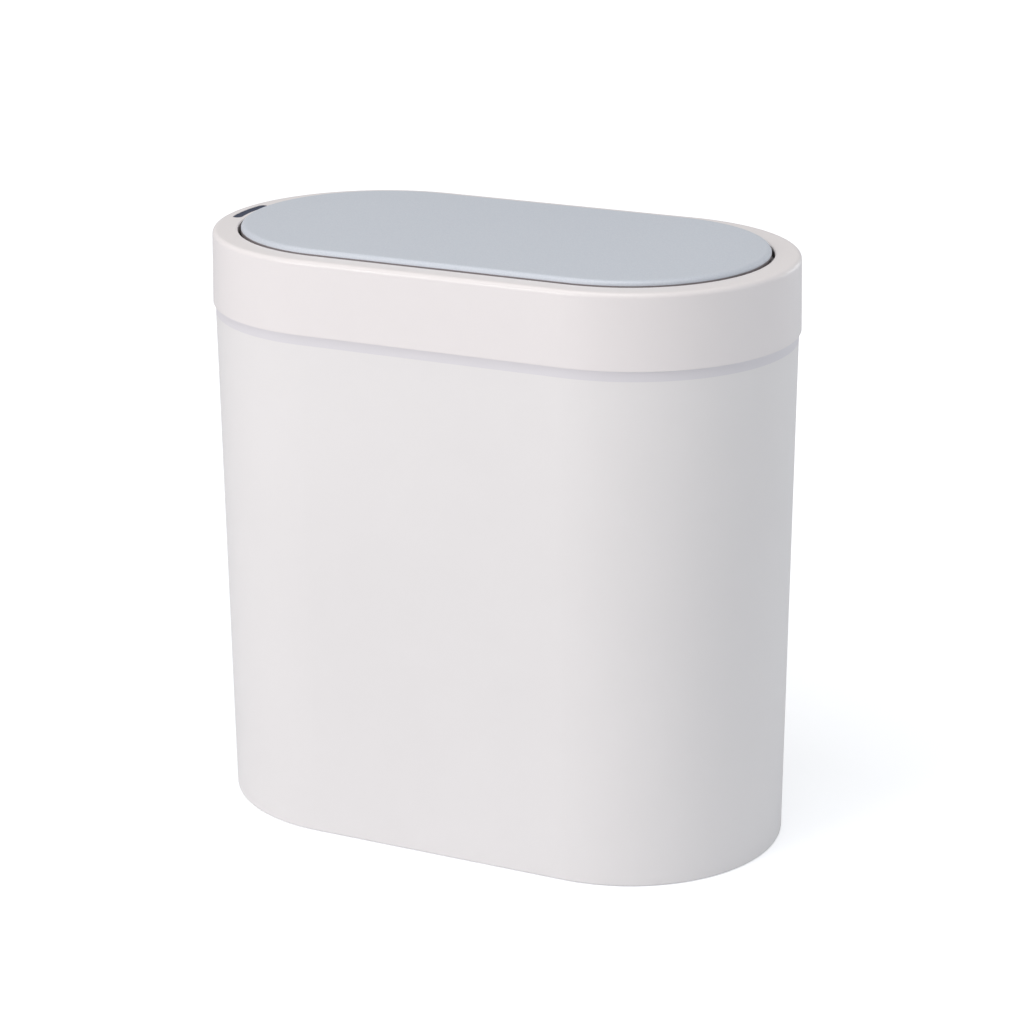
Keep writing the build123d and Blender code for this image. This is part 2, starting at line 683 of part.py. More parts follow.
# Deck: cover of the mechanism bay, seen when the lid is open
switch_back_length = 12.0   # middle of the switch from the board's edges, along X and along Y
switch_side_length = 14.0
switch_travel = 3.0
switch_stem_x = 3.0
switch_stem_y = 4.0
sector_slot = 0.7           # each side of the sector
bracket_y = 13.5            # middle of each hinge ear
ear_thickness = 1.2
foot_thickness = 1.0
bracket_foot_width = 8.0
bracket_foot_back = 17.0    # foot's far and near ends, behind the hinge line
bracket_foot_front = 6.5
bracket_screw_radius = 0.8
bracket_boss_radius = 2.0
bracket_boss_depth = 3.0
ear_radius = 1.3
deck_edge = 0.8

switch_middle = (board_low + switch_back_length, board_near + switch_side_length)
bracket_screw_y = bracket_y + ear_thickness / 2 + bracket_foot_width / 2
bracket_screw_x = [hinge[0] - bracket_foot_front - bracket_foot_width / 4,
                   hinge[0] - bracket_foot_back + bracket_foot_width / 4]
bracket_holes = [(x, side * bracket_screw_y) for x in bracket_screw_x for side in (-1, 1)]

with BuildPart() as deck_cover:
    with BuildSketch(Plane.XY.offset(deck_bottom)):
        lid_plan(deck_radius)
        rect(bay_face, end_distance + foot_radius, -foot_radius, foot_radius, mode=Mode.INTERSECT)
    extrude(amount=deck_thickness)
    fillet(deck_cover.edges().filter_by(Axis.Y).sort_by(Axis.Z)[-1], deck_edge)
    with BuildSketch(Plane.XY.offset(deck_bottom + deck_thickness / 2)):
        for hole in bracket_holes:
            disc(hole, bracket_boss_radius)
    extrude(amount=-bracket_boss_depth - deck_thickness / 2)
    with BuildSketch(Plane.XY.offset(deck_bottom - bracket_boss_depth)):
        for hole in bracket_holes:
            disc(hole, bracket_screw_radius)
        for post in deck_posts:
            disc(post, deck_screw_hole + seat_gap)
        rect(hinge[0] - sector_tip - case_clear, end_distance + foot_radius,
             -sector_half - sector_slot, sector_half + sector_slot)
        rect(switch_middle[0] - switch_stem_x / 2 - fit_gap,
             switch_middle[0] + switch_stem_x / 2 + fit_gap,
             switch_middle[1] - (switch_stem_y + switch_travel) / 2 - fit_gap,
             switch_middle[1] + (switch_stem_y + switch_travel) / 2 + fit_gap)
    extrude(amount=bracket_boss_depth + deck_thickness + overrun, mode=Mode.SUBTRACT)
deck_cover.part.label = "deck_cover"
export_step(deck_cover.part, "parts/deck_cover.step")

deck_head_radius = 2.2
deck_head_height = 1.4
with BuildPart() as deck_screws:
    screws(deck_posts, deck_top, deck_head_radius, deck_head_height, deck_screw_hole - seat_gap,
           frame_screw_length - fit_gap)
deck_screws.part.label = "deck_screws"
export_step(deck_screws.part, "parts/deck_screws.step")


# Hinge brackets: bent steel ears, screwed to the deck, and the pins that the lid's lugs hold
lug_thickness = 1.8
lug_radius = 1.3
lug_gap = 0.4

with BuildPart() as hinge_brackets:
    for side in (-1, 1):
        foot_near = side * (bracket_y - ear_thickness / 2)
        foot_far = side * (bracket_y + ear_thickness / 2 + bracket_foot_width)
        with BuildSketch(Plane.XY.offset(deck_top)):
            rect(hinge[0] - bracket_foot_back, hinge[0] - bracket_foot_front, min(foot_near, foot_far),
                 max(foot_near, foot_far))
            for hole in bracket_holes:
                disc(hole, bracket_screw_radius + seat_gap, mode=Mode.SUBTRACT)
        extrude(amount=foot_thickness)
        with BuildSketch(side_plane(side * bracket_y + ear_thickness / 2)):
            disc(hinge, ear_radius)
            disc((hinge[0] - (bracket_foot_back + bracket_foot_front) / 2, deck_top + ear_radius), ear_radius)
            disc((hinge[0] - bracket_foot_front - ear_radius, deck_top + ear_radius), ear_radius)
            make_hull()
            disc(hinge, hinge_pin_radius + turn_gap, mode=Mode.SUBTRACT)
        extrude(amount=ear_thickness)
hinge_brackets.part.label = "hinge_brackets"
export_step(hinge_brackets.part, "parts/hinge_brackets.step")

bracket_head_radius = 1.7
bracket_head_height = 1.1
with BuildPart() as bracket_screws:
    screws(bracket_holes, deck_top + foot_thickness, bracket_head_radius, bracket_head_height,
           bracket_screw_radius - seat_gap, foot_thickness + deck_thickness + bracket_boss_depth - fit_gap)
bracket_screws.part.label = "bracket_screws"
export_step(bracket_screws.part, "parts/bracket_screws.step")

lug_reach = ear_thickness / 2 + lug_gap + lug_thickness
with BuildPart() as hinge_pins:
    for side in (-1, 1):
        with BuildSketch(side_plane(side * bracket_y + lug_reach)):
            disc(hinge, hinge_pin_radius)
        extrude(amount=2 * lug_reach)
hinge_pins.part.label = "hinge_pins"
export_step(hinge_pins.part, "parts/hinge_pins.step")


# Lid cap: thin silver skin with a rounded edge
cap_wall = 1.2
cap_skin = 1.0
cap_edge = 2.4
skirt_drop = 2.0            # cap's skirt below the rim
notch_drop = 0.8            # top of the skirt's notches below the rim, out of sight
ear_slot_gap = 0.8
tray_thickness = 1.4
tray_lip = 1.8
tray_lip_wall = 1.2
tray_rib = 1.2
tray_rib_pitch = 32.0
tray_rib_count = 7
sector_slot_back = 10.0     # slots in the tray, behind the hinge line
ear_slot_back = 13.5
arm_foot_back = 26.0        # foot of the gear's arm, behind the hinge line
arm_foot_front = 9.0
arm_foot_width = 14.0
arm_foot_thickness = 1.2
arm_step = 1.0              # arm's top edge runs this far past the hinge line
arm_drop = 2.8              # arm's top edge below the hinge line, past the lid's end
stake_radius = 1.0
stake_head_radius = 1.7
stake_head_height = 0.8

skirt_bottom = rim_height - skirt_drop
cap_inner = lid_radius - cap_wall
cap_underside = lid_top - cap_skin
ear_slot_half = ear_thickness / 2 + ear_slot_gap
tray_radius = cap_inner - fit_gap
tray_top = lid_underside + tray_thickness
lid_stakes = [(x, side * arm_foot_width / 3) for side in (-1, 1)
              for x in (hinge[0] - arm_foot_front - 2 * stake_head_radius,
                        hinge[0] - arm_foot_back + 2 * stake_head_radius)]

with BuildPart() as lid_cap:
    with BuildSketch(Plane.XY.offset(skirt_bottom)):
        lid_plan(lid_radius)
    extrude(amount=lid_top - skirt_bottom)
    fillet(lid_cap.edges().group_by(Axis.Z)[-1], cap_edge)
    with BuildSketch(Plane.XY.offset(skirt_bottom)):
        lid_plan(cap_inner)
    extrude(amount=cap_underside - cap_edge + cap_skin - skirt_bottom, mode=Mode.SUBTRACT)
    with BuildSketch(Plane.XY.offset(cap_underside - cap_edge + cap_skin)):
        lid_plan(cap_inner)
    extrude(amount=cap_edge - cap_skin, taper=opening_bevel, mode=Mode.SUBTRACT)
    for side in (-1, 1):
        with BuildSketch(Plane.XY.offset(skirt_bottom - overrun)):
            rect(hinge[0], lid_end, side * bracket_y - ear_slot_half, side * bracket_y + ear_slot_half)
        extrude(amount=skirt_drop - notch_drop + overrun, mode=Mode.SUBTRACT)
lid_cap.part.label = "lid_cap"
export_step(lid_cap.part, "parts/lid_cap.step")

with BuildPart() as lid_tray:
    with BuildSketch(Plane.XY.offset(lid_underside)):
        lid_plan(tray_radius)
    extrude(amount=tray_thickness)
    with BuildSketch(Plane.XY.offset(lid_underside + tray_thickness / 2)):
        lid_plan(tray_radius)
        lid_plan(tray_radius - tray_lip_wall, mode=Mode.SUBTRACT)
    extrude(amount=tray_thickness / 2 + tray_lip)
    with BuildSketch(Plane.XY.offset(lid_underside + tray_thickness / 2)):
        with GridLocations(tray_rib_pitch, 0, tray_rib_count, 1):
            Rectangle(tray_rib, 2 * tray_radius)
        lid_plan(tray_radius, mode=Mode.INTERSECT)
        rect(-2 * end_distance, hinge[0] - arm_foot_back - fit_gap, -tray_radius, tray_radius,
             mode=Mode.INTERSECT)
    extrude(amount=tray_thickness / 2 + tray_lip)
    with BuildSketch(Plane.XY.offset(lid_underside - overrun)):
        rect(hinge[0] - sector_slot_back, lid_end, -sector_half - sector_slot, sector_half + sector_slot)
    extrude(amount=tray_thickness + overrun, mode=Mode.SUBTRACT)
    for side in (-1, 1):
        with BuildSketch(Plane.XY.offset(lid_underside - overrun)):
            rect(hinge[0] - ear_slot_back, lid_end, side * bracket_y - ear_slot_half,
                 side * bracket_y + ear_slot_half)
        extrude(amount=tray_thickness + tray_lip + 2 * overrun, mode=Mode.SUBTRACT)
        for face in (ear_thickness / 2 + lug_gap + lug_thickness, -ear_thickness / 2 - lug_gap):
            with BuildSketch(side_plane(side * bracket_y + face)):
                disc(hinge, lug_radius)
                rect(hinge[0] - lug_radius, hinge[0] + lug_radius, lid_underside, hinge[1])
            extrude(amount=lug_thickness)
        with BuildSketch(side_plane(side * bracket_y + lug_reach)):
            disc(hinge, hinge_pin_radius + seat_gap)
        extrude(amount=2 * lug_reach, mode=Mode.SUBTRACT)
    with BuildSketch(Plane.XY.offset(tray_top - tray_thickness / 2)):
        for stake in lid_stakes:
            disc(stake, stake_radius)
    extrude(amount=tray_thickness / 2 + arm_foot_thickness + stake_head_height / 2)
    with BuildSketch(Plane.XY.offset(tray_top + arm_foot_thickness)):
        for stake in lid_stakes:
            disc(stake, stake_head_radius)
    extrude(amount=stake_head_height)
lid_tray.part.label = "lid_tray"
export_step(lid_tray.part, "parts/lid_tray.step")

bumper_radius = 2.0
bumper_y = tray_radius - bumper_radius - 2 * fit_gap
with BuildPart() as lid_bumpers:
    with BuildSketch(Plane.XY.offset(lid_underside)):
        for side in (-1, 1):
            disc((stop_x, side * bumper_y), bumper_radius)
    extrude(amount=-bumper_height)
lid_bumpers.part.label = "lid_bumpers"
export_step(lid_bumpers.part, "parts/lid_bumpers.step")


# Lid gear: toothed sector on an arm, staked to the tray, which runs down through the deck
sector_count = 9
sector_pitch = 360 / sector_teeth
first_tooth = sector_angle - sector_pitch / 2
sector_end = first_tooth + (sector_count - 1) * sector_pitch + sector_pitch / 4

with BuildPart() as lid_gear:
    with BuildSketch(side_plane(sector_half)):
        outline = [(hinge[0] - arm_foot_front, tray_top),
                   (hinge[0] - arm_foot_front, tray_top + arm_foot_thickness),
                   (hinge[0] + arm_step, tray_top + arm_foot_thickness),
                   (hinge[0] + arm_drop, hinge[1] - arm_drop)]
        outline.append(polar(hinge, sector_root, sector_end))
        teeth = [tooth_points(hinge, coarse_module, sector_teeth, -tooth_shift_share,
                              first_tooth + tooth * sector_pitch) for tooth in range(sector_count)]
        for tooth in reversed(teeth):
            outline += reversed(tooth)
        Polygon(*outline, align=None)
    extrude(amount=2 * sector_half)
    with BuildSketch(Plane.XY.offset(tray_top)):
        rect(hinge[0] - arm_foot_back, hinge[0] - arm_foot_front, -arm_foot_width / 2, arm_foot_width / 2)
        for stake in lid_stakes:
            disc(stake, stake_radius + turn_gap, mode=Mode.SUBTRACT)
    extrude(amount=arm_foot_thickness)
lid_gear.part.label = "lid_gear"
export_step(lid_gear.part, "parts/lid_gear.step")


# Sensor under the rim: window, holder with its light wells, board and its three diodes
window_fit = 0.1
window_recess = 0.2
diode_radius = 1.5
diode_length = 4.4
diode_dome = 1.2
diode_angle = 7.5           # emitter and receiver each side of the status light
well_gap = 0.4
holder_arc = 2 * sensor_boss_angle + 4
sensor_board_width = 5.8
sensor_head_radius = 1.6
sensor_head_height = 1.1

lip_inner = channel_inner + fit_gap
lip_outer = window_circle + window_width / 2 + window_lip
lip_circle = (lip_inner + lip_outer) / 2
diode_places = {turn: polar((-end_distance, 0), lip_circle, 180 + turn * diode_angle)
                for turn in (-1, 0, 1)}
holder_middle = (lip_inner + ring_radius_at(rim_underside) - head_wall - fit_gap) / 2

with BuildPart() as sensor_window:
    with BuildSketch(Plane.XY.offset(rim_underside)):
        sensor_arc(window_circle, window_arc, window_width - 2 * window_fit)
    extrude(amount=rim_thickness - window_recess)
    with BuildSketch(Plane.XY.offset(rim_underside - window_step)):
        sensor_arc(lip_circle, window_arc, lip_outer - lip_inner)
    extrude(amount=window_step)
sensor_window.part.label = "sensor_window"
export_step(sensor_window.part, "parts/sensor_window.step")

with BuildPart() as sensor_holder:
    with BuildSketch(Plane.XY.offset(holder_bottom)):
        sensor_arc(lip_circle, window_arc, lip_outer - lip_inner)
        for boss in sensor_bosses:
            disc(boss, sensor_boss_radius + fit_gap, mode=Mode.SUBTRACT)
    extrude(amount=holder_depth)
    with BuildSketch(Plane.XY.offset(holder_bottom)):
        sensor_arc(holder_middle, holder_arc, sensor_board_width)
    extrude(amount=holder_ear)
    with BuildSketch(Plane.XY.offset(holder_bottom)):
        for place in diode_places.values():
            disc(place, diode_radius + well_gap)
    extrude(amount=holder_depth, mode=Mode.SUBTRACT)
    with BuildSketch(Plane.XY.offset(holder_bottom)):
        for boss in sensor_bosses:
            disc(boss, sensor_screw_hole + turn_gap)
    extrude(amount=holder_ear, mode=Mode.SUBTRACT)
sensor_holder.part.label = "sensor_holder"
export_step(sensor_holder.part, "parts/sensor_holder.step")

with BuildPart() as ir_emitter:
    with BuildSketch(Plane.XY.offset(holder_bottom)):
        disc(diode_places[-1], diode_radius)
    extrude(amount=diode_length)
    fillet(ir_emitter.edges().group_by(Axis.Z)[-1], diode_dome)
ir_emitter.part.label = "ir_emitter"
export_step(ir_emitter.part, "parts/ir_emitter.step")

with BuildPart() as ir_receiver:
    with BuildSketch(Plane.XY.offset(holder_bottom)):
        disc(diode_places[1], diode_radius)
    extrude(amount=diode_length)
    fillet(ir_receiver.edges().group_by(Axis.Z)[-1], diode_dome)
ir_receiver.part.label = "ir_receiver"
export_step(ir_receiver.part, "parts/ir_receiver.step")

with BuildPart() as status_light:
    with BuildSketch(Plane.XY.offset(holder_bottom)):
        disc(diode_places[0], diode_radius)
    extrude(amount=diode_length)
    fillet(status_light.edges().group_by(Axis.Z)[-1], diode_dome)
status_light.part.label = "status_light"
export_step(status_light.part, "parts/status_light.step")

sensor_board_bottom = holder_bottom - board_thickness
sensor_header_angle = 4.0     # degrees
sensor_header_height = 3.6
cable_radius = 0.9
cable_bend = 6.0
cable_ease_share = 0.52     # long bend out to the ring's outer wall, as a share of the sensor's radius
cable_turn_radius = 10.0

cable_circle = ring_radius_at(lead_z) - head_wall - fit_gap - cable_radius
cable_start = -end_distance - holder_middle
cable_drop = sensor_board_bottom - sensor_header_height - lead_z - fit_gap
cable_ease = holder_middle * cable_ease_share
cable_ease_y = sqrt((cable_circle - cable_ease) ** 2 - (holder_middle - cable_ease) ** 2)
cable_join = polar((-end_distance, 0), cable_circle,
                   180 - degrees(atan(cable_ease_y / (holder_middle - cable_ease))))

with BuildPart() as sensor_board:
    with BuildSketch(Plane.XY.offset(sensor_board_bottom)):
        sensor_arc(holder_middle, holder_arc, sensor_board_width)
        for boss in sensor_bosses:
            disc(boss, sensor_screw_hole + turn_gap, mode=Mode.SUBTRACT)
    extrude(amount=board_thickness)
    with BuildSketch(Plane.XY.offset(sensor_board_bottom)):
        sensor_arc(holder_middle, sensor_header_angle, sensor_board_width)
    extrude(amount=-sensor_header_height)
sensor_board.part.label = "sensor_board"
export_step(sensor_board.part, "parts/sensor_board.step")

with BuildPart() as sensor_screws:
    screws(sensor_bosses, sensor_board_bottom, sensor_head_radius, sensor_head_height,
           sensor_screw_hole - seat_gap, board_thickness + holder_depth - fit_gap, down=-1)
sensor_screws.part.label = "sensor_screws"
export_step(sensor_screws.part, "parts/sensor_screws.step")


# Battery bay: two AA cells side by side, their contacts and the door below them
contact_thickness = 0.5
contact_height = 12.0
spring_foot = 4.5
spring_tip = 3.2
plate_bump = 2.5

with BuildPart() as battery_cells:
    for side, x in zip((-1, 1), cell_middle):
        with BuildSketch(side_plane(cell_length / 2)):
            disc((x, cell_axis_z), cell_radius)
        extrude(amount=cell_length)
        nub_face = cell_length / 2 + cell_nub_length if side > 0 else -cell_length / 2
        with BuildSketch(side_plane(nub_face)):
            disc((x, cell_axis_z), cell_nub_radius)
        extrude(amount=cell_nub_length)
battery_cells.part.label = "battery_cells"
export_step(battery_cells.part, "parts/battery_cells.step")

with BuildPart() as battery_contacts:
    contact_face = bay_half - contact_thickness
    for end in (-1, 1):
        with BuildSketch(side_plane(max(end * bay_half, end * contact_face))):
            rect(cell_middle[0] - contact_height / 2, cell_middle[1] + contact_height / 2,
                 cell_axis_z - contact_height / 2, cell_axis_z + contact_height / 2)
        extrude(amount=contact_thickness)
        for side, x in zip((-1, 1), cell_middle):
            spring = side != end
            reach = contact_face - cell_length / 2 - fit_gap - (0 if spring else cell_nub_length)
            start_plane = side_plane(end * contact_face)
            with BuildSketch(start_plane):
                disc((x, cell_axis_z), spring_foot if spring else plate_bump)
            tip_plane = side_plane(end * (contact_face - reach))
            with BuildSketch(tip_plane):
                disc((x, cell_axis_z), spring_tip if spring else plate_bump / 2)
            loft()
battery_contacts.part.label = "battery_contacts"
export_step(battery_contacts.part, "parts/battery_contacts.step")

door_arm_radius = 1.2
door_arm_length = 5.0
door_grip_width = 16.0
door_grip_depth = 3.0
door_grip_thickness = 1.6
with BuildPart() as battery_door:
    with BuildSketch(Plane.XY.offset(plate_bottom)):
        rect(door_low, door_high, -door_half, door_half)
    extrude(amount=door_thickness)
    with BuildSketch(Plane.XY.offset(plate_bottom + door_thickness / 2)):
        rect(door_low + fit_gap, door_low + fit_gap + door_grip_thickness, -door_grip_width / 2,
             door_grip_width / 2)
    extrude(amount=-door_grip_depth - door_thickness / 2)
    for side in (-1, 1):
        pin_ends = (side * (door_half - door_arm_width / 2), side * (lug_y - door_lug_width / 2))
        with BuildSketch(side_plane(max(side * door_half, side * (door_half - door_arm_width)))):
            disc(door_axis, door_arm_radius)
            rect(door_high - door_arm_length, door_axis[0], door_axis[1] - door_arm_radius,
                 door_axis[1] + door_arm_radius)
            rect(door_high - door_arm_length, door_high, door_axis[1], plate_top - door_thickness / 2)
        extrude(amount=door_arm_width)
        with BuildSketch(side_plane(max(pin_ends))):
            disc(door_axis, door_pin_radius)
        extrude(amount=max(pin_ends) - min(pin_ends))
battery_door.part.label = "battery_door"
export_step(battery_door.part, "parts/battery_door.step")


# Main board with its parts, and the switch under the deck
chip_size = 8.0
chip_height = 1.2
chip_back_length = 6.0      # middle of the chip from the board's edges
chip_side_length = 13.0
capacitor_radius = 2.1
capacitor_height = 7.0
header_long = 7.0
header_short = 5.0

cable_end_x = (board_low + board_high) / 2
cable_turn_circle = cable_circle - cable_turn_radius
cable_leave_angle = degrees(acos((cable_end_x - cable_turn_radius - end_distance) / cable_turn_circle))
cable_away = polar((end_distance, 0), cable_circle, cable_leave_angle)
cable_turn_middle = polar((end_distance, 0), cable_turn_circle, cable_leave_angle)
sensor_header = (cable_end_x, board_far - board_post_inset - header_short / 2)
battery_header = (lead_x, board_near + board_post_inset + header_short / 2)
motor_header = (board_high - board_post_inset, switch_middle[1] - header_short - fit_gap)
chip_place = (board_low + chip_back_length, board_near + chip_side_length)

with BuildPart() as main_board:
    with BuildSketch(Plane.XY.offset(board_bottom)):
        rect(board_low, board_high, board_near, board_far)
        for post in board_posts:
            disc(post, board_screw_hole + turn_gap, mode=Mode.SUBTRACT)
    extrude(amount=board_thickness)
    with BuildSketch(Plane.XY.offset(board_top - board_thickness / 2)):
        for header in (sensor_header, battery_header):
            rect(header[0] - header_long / 2, header[0] + header_long / 2, header[1] - header_short / 2,
                 header[1] + header_short / 2)
        rect(motor_header[0] - header_short / 2, motor_header[0] + header_short / 2,
             motor_header[1] - header_long / 2, motor_header[1] + header_long / 2)
    extrude(amount=header_height + board_thickness / 2)
    with BuildSketch(Plane.XY.offset(board_top - board_thickness / 2)):
        with Locations(chip_place):
            Rectangle(chip_size, chip_size)
    extrude(amount=chip_height + board_thickness / 2)
    with BuildSketch(Plane.XY.offset(board_top - board_thickness / 2)):
        disc((battery_header[0] + header_long, battery_header[1]), capacitor_radius)
    extrude(amount=capacitor_height + board_thickness / 2)
main_board.part.label = "main_board"
export_step(main_board.part, "parts/main_board.step")

with BuildPart() as board_screws:
    screws(board_posts, board_top, sensor_head_radius, sensor_head_height, board_screw_hole - seat_gap,
           board_thickness + board_lift - fit_gap)
board_screws.part.label = "board_screws"
export_step(board_screws.part, "parts/board_screws.step")

switch_body_x = 8.0
switch_body_y = 14.0
switch_body_height = 5.0
switch_floor = 1.5
knob_x = 5.0
knob_y = 7.0
knob_height = 1.5
knob_edge = 0.4

with BuildPart() as power_switch:
    with BuildSketch(Plane.XY.offset(deck_bottom)):
        with Locations(switch_middle):
            Rectangle(switch_body_x, switch_body_y)
    extrude(amount=-switch_body_height)
    with BuildSketch(Plane.XY.offset(deck_bottom)):
        with Locations(switch_middle):
            Rectangle(switch_stem_x + 2 * fit_gap, switch_stem_y + switch_travel + 2 * fit_gap)
    extrude(amount=-switch_body_height + switch_floor, mode=Mode.SUBTRACT)
power_switch.part.label = "power_switch"
export_step(power_switch.part, "parts/power_switch.step")

with BuildPart() as switch_slider:
    slider_place = (switch_middle[0], switch_middle[1] - switch_travel / 2)
    with BuildSketch(Plane.XY.offset(deck_bottom - switch_body_height + switch_floor + fit_gap)):
        with Locations(slider_place):
            Rectangle(switch_stem_x, switch_stem_y)
    extrude(amount=switch_body_height - switch_floor + deck_thickness)
    with BuildSketch(Plane.XY.offset(deck_top + fit_gap)):
        with Locations(slider_place):
            Rectangle(knob_x, knob_y)
    extrude(amount=knob_height)
    fillet(switch_slider.edges().group_by(Axis.Z)[-1], knob_edge)
switch_slider.part.label = "switch_slider"
export_step(switch_slider.part, "parts/switch_slider.step")


# Leads: the sensor's runs inside the ring, the others are short ones inside the bay
with BuildPart() as sensor_cable:
    with BuildLine():
        FilletPolyline((cable_start, 0, sensor_board_bottom - sensor_header_height), (cable_start, 0, lead_z),
                       (cable_start, cable_ease_y, lead_z), radius=min(cable_bend, cable_drop))
        RadiusArc((cable_start, cable_ease_y, lead_z), (*cable_join, lead_z), cable_ease)
        RadiusArc((*cable_join, lead_z), (-end_distance, cable_circle, lead_z), cable_circle)
        Line((-end_distance, cable_circle, lead_z), (end_distance, cable_circle, lead_z))
        RadiusArc((end_distance, cable_circle, lead_z), (*cable_away, lead_z), cable_circle)
        RadiusArc((*cable_away, lead_z), (cable_end_x, cable_turn_middle[1], lead_z), cable_turn_radius)
        Line((cable_end_x, cable_turn_middle[1], lead_z),
             (cable_end_x, sensor_header[1] + header_short / 2, lead_z))
    with BuildSketch(Plane.XY.offset(sensor_board_bottom - sensor_header_height)):
        disc((cable_start, 0), cable_radius)
    sweep()
sensor_cable.part.label = "sensor_cable"
export_step(sensor_cable.part, "parts/sensor_cable.step")

motor_lead_bend = 5.0
motor_lead_run = motor_header[1] - motor_high - motor_cap_length - fit_gap
with BuildPart() as motor_lead:
    with BuildLine():
        FilletPolyline((motor_centre[0], motor_high + motor_cap_length, motor_centre[1]),
                       (motor_centre[0], motor_header[1], motor_centre[1]),
                       (motor_header[0] + header_short / 2, motor_header[1], motor_centre[1]),
                       radius=min(motor_lead_bend, motor_lead_run))
    with BuildSketch(side_plane(motor_high + motor_cap_length)):
        disc(motor_centre, lead_radius)
    sweep()
motor_lead.part.label = "motor_lead"
export_step(motor_lead.part, "parts/motor_lead.step")

with BuildPart() as battery_lead:
    with BuildSketch(side_plane(battery_header[1] - header_short / 2)):
        disc((lead_x, lead_z), lead_radius)
    extrude(amount=battery_header[1] - header_short / 2 - bay_half)
battery_lead.part.label = "battery_lead"
export_step(battery_lead.part, "parts/battery_lead.step")

with BuildPart() as switch_lead:
    with BuildSketch(Plane.XY.offset(board_top)):
        disc(switch_middle, lead_radius)
    extrude(amount=deck_bottom - switch_body_height - board_top)
switch_lead.part.label = "switch_lead"
export_step(switch_lead.part, "parts/switch_lead.step")
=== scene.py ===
import math

import bmesh
import bpy
from mathutils import Matrix, Vector


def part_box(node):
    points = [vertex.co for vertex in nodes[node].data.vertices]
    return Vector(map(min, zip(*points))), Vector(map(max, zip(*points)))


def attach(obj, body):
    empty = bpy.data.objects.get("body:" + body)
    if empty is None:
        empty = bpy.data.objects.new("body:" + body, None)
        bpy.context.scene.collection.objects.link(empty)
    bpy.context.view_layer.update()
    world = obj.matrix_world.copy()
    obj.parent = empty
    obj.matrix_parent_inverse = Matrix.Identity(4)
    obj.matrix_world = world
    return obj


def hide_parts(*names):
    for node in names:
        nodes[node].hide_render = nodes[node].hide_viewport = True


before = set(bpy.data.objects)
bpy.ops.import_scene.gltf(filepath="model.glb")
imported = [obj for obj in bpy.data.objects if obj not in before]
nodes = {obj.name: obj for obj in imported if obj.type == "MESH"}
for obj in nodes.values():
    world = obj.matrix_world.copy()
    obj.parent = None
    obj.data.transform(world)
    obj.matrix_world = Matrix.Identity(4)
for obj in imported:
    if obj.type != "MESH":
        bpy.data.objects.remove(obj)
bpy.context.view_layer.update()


# Camera: stands above the long side, turned towards the hinge end, and looks slightly down.
# Its angle, distance and lens come from a pinhole fit to the bin's outline.
camera_azimuth = math.radians(25.676)
camera_elevation = math.radians(18.824)
camera_roll = math.radians(-0.326)
camera_distance = 1.5304
camera_target = Vector((0, 0, 0.150))

camera_back = Vector((math.sin(camera_azimuth) * math.cos(camera_elevation),
                      -math.cos(camera_azimuth) * math.cos(camera_elevation),
                      math.sin(camera_elevation)))
camera_right = Vector((math.cos(camera_azimuth), math.sin(camera_azimuth), 0))
camera_up = camera_back.cross(camera_right)
camera_data = bpy.data.cameras.new("camera")
camera_data.sensor_width = 36
camera_data.lens = 36 * 3009.22 / 1024
camera_data.shift_x = (512 - 503.08) / 1024
camera_data.shift_y = (526.03 - 512) / 1024
camera = bpy.data.objects.new("camera", camera_data)
bpy.context.scene.collection.objects.link(camera)
facing = Matrix((camera_right, camera_up, camera_back)).transposed().to_4x4()
camera.matrix_world = (Matrix.Translation(camera_target + camera_distance * camera_back)
                       @ Matrix.Rotation(camera_roll, 4, camera_back) @ facing)
bpy.context.scene.camera = camera
bpy.context.scene.view_settings.view_transform = "Standard"


# Studio: a pale floor that keeps the bin's shadow and glows white further out, a white world
# and four soft lamps. The largest stands at the front left, as the hinge end is the darker one.
class Shade:
    """One socket of a material: arithmetic on it adds Math nodes, and add() puts in any other node."""

    def __init__(self, tree, socket=None):
        self.tree = tree
        self.socket = socket

    def add(self, kind, settings=None, inputs=None, output=0):
        node = self.tree.nodes.new("ShaderNode" + kind)
        for name, value in (settings or {}).items():
            if name == "stops":
                while len(node.color_ramp.elements) < len(value):
                    node.color_ramp.elements.new(0.5)
                for element, (place, colour) in zip(node.color_ramp.elements, value):
                    element.position = place
                    element.color = (*colour, 1)
            else:
                setattr(node, name, value)
        for name, value in (inputs or {}).items():
            if isinstance(value, Shade):
                self.tree.links.new(value.socket, node.inputs[name])
            else:
                node.inputs[name].default_value = value
        return Shade(self.tree, node.outputs[output])

    def maths(self, operation, first, second=0.0):
        return self.add("Math", {"operation": operation}, {0: first, 1: second})

    def __add__(self, other):
        return self.maths("ADD", self, other)

    def __radd__(self, other):
        return self.maths("ADD", other, self)

    def __sub__(self, other):
        return self.maths("SUBTRACT", self, other)

    def __rsub__(self, other):
        return self.maths("SUBTRACT", other, self)

    def __mul__(self, other):
        return self.maths("MULTIPLY", self, other)

    def __rmul__(self, other):
        return self.maths("MULTIPLY", other, self)

    def __truediv__(self, other):
        return self.maths("DIVIDE", self, other)

    def __gt__(self, other):
        return self.maths("GREATER_THAN", self, other)

    def __pow__(self, other):
        return self.maths("POWER", self, other)


def linear(red, green, blue):
    """Linear colour of an 8-bit screen colour."""
    shares = [v / 255 for v in (red, green, blue)]
    return tuple(((v + 0.055) / 1.055) ** 2.4 if v > 0.04045 else v / 12.92 for v in shares)


def blank(name):
    """A new material with no nodes yet, and the shade to build on it."""
    material = bpy.data.materials.new(name)
    material.use_nodes = True
    material.node_tree.nodes.clear()
    return material, Shade(material.node_tree)


def close(material, shader):
    """Joins the finished shader to the material's output."""
    out = material.node_tree.nodes.new("ShaderNodeOutputMaterial")
    material.node_tree.links.new(shader.socket, out.inputs["Surface"])
    return material


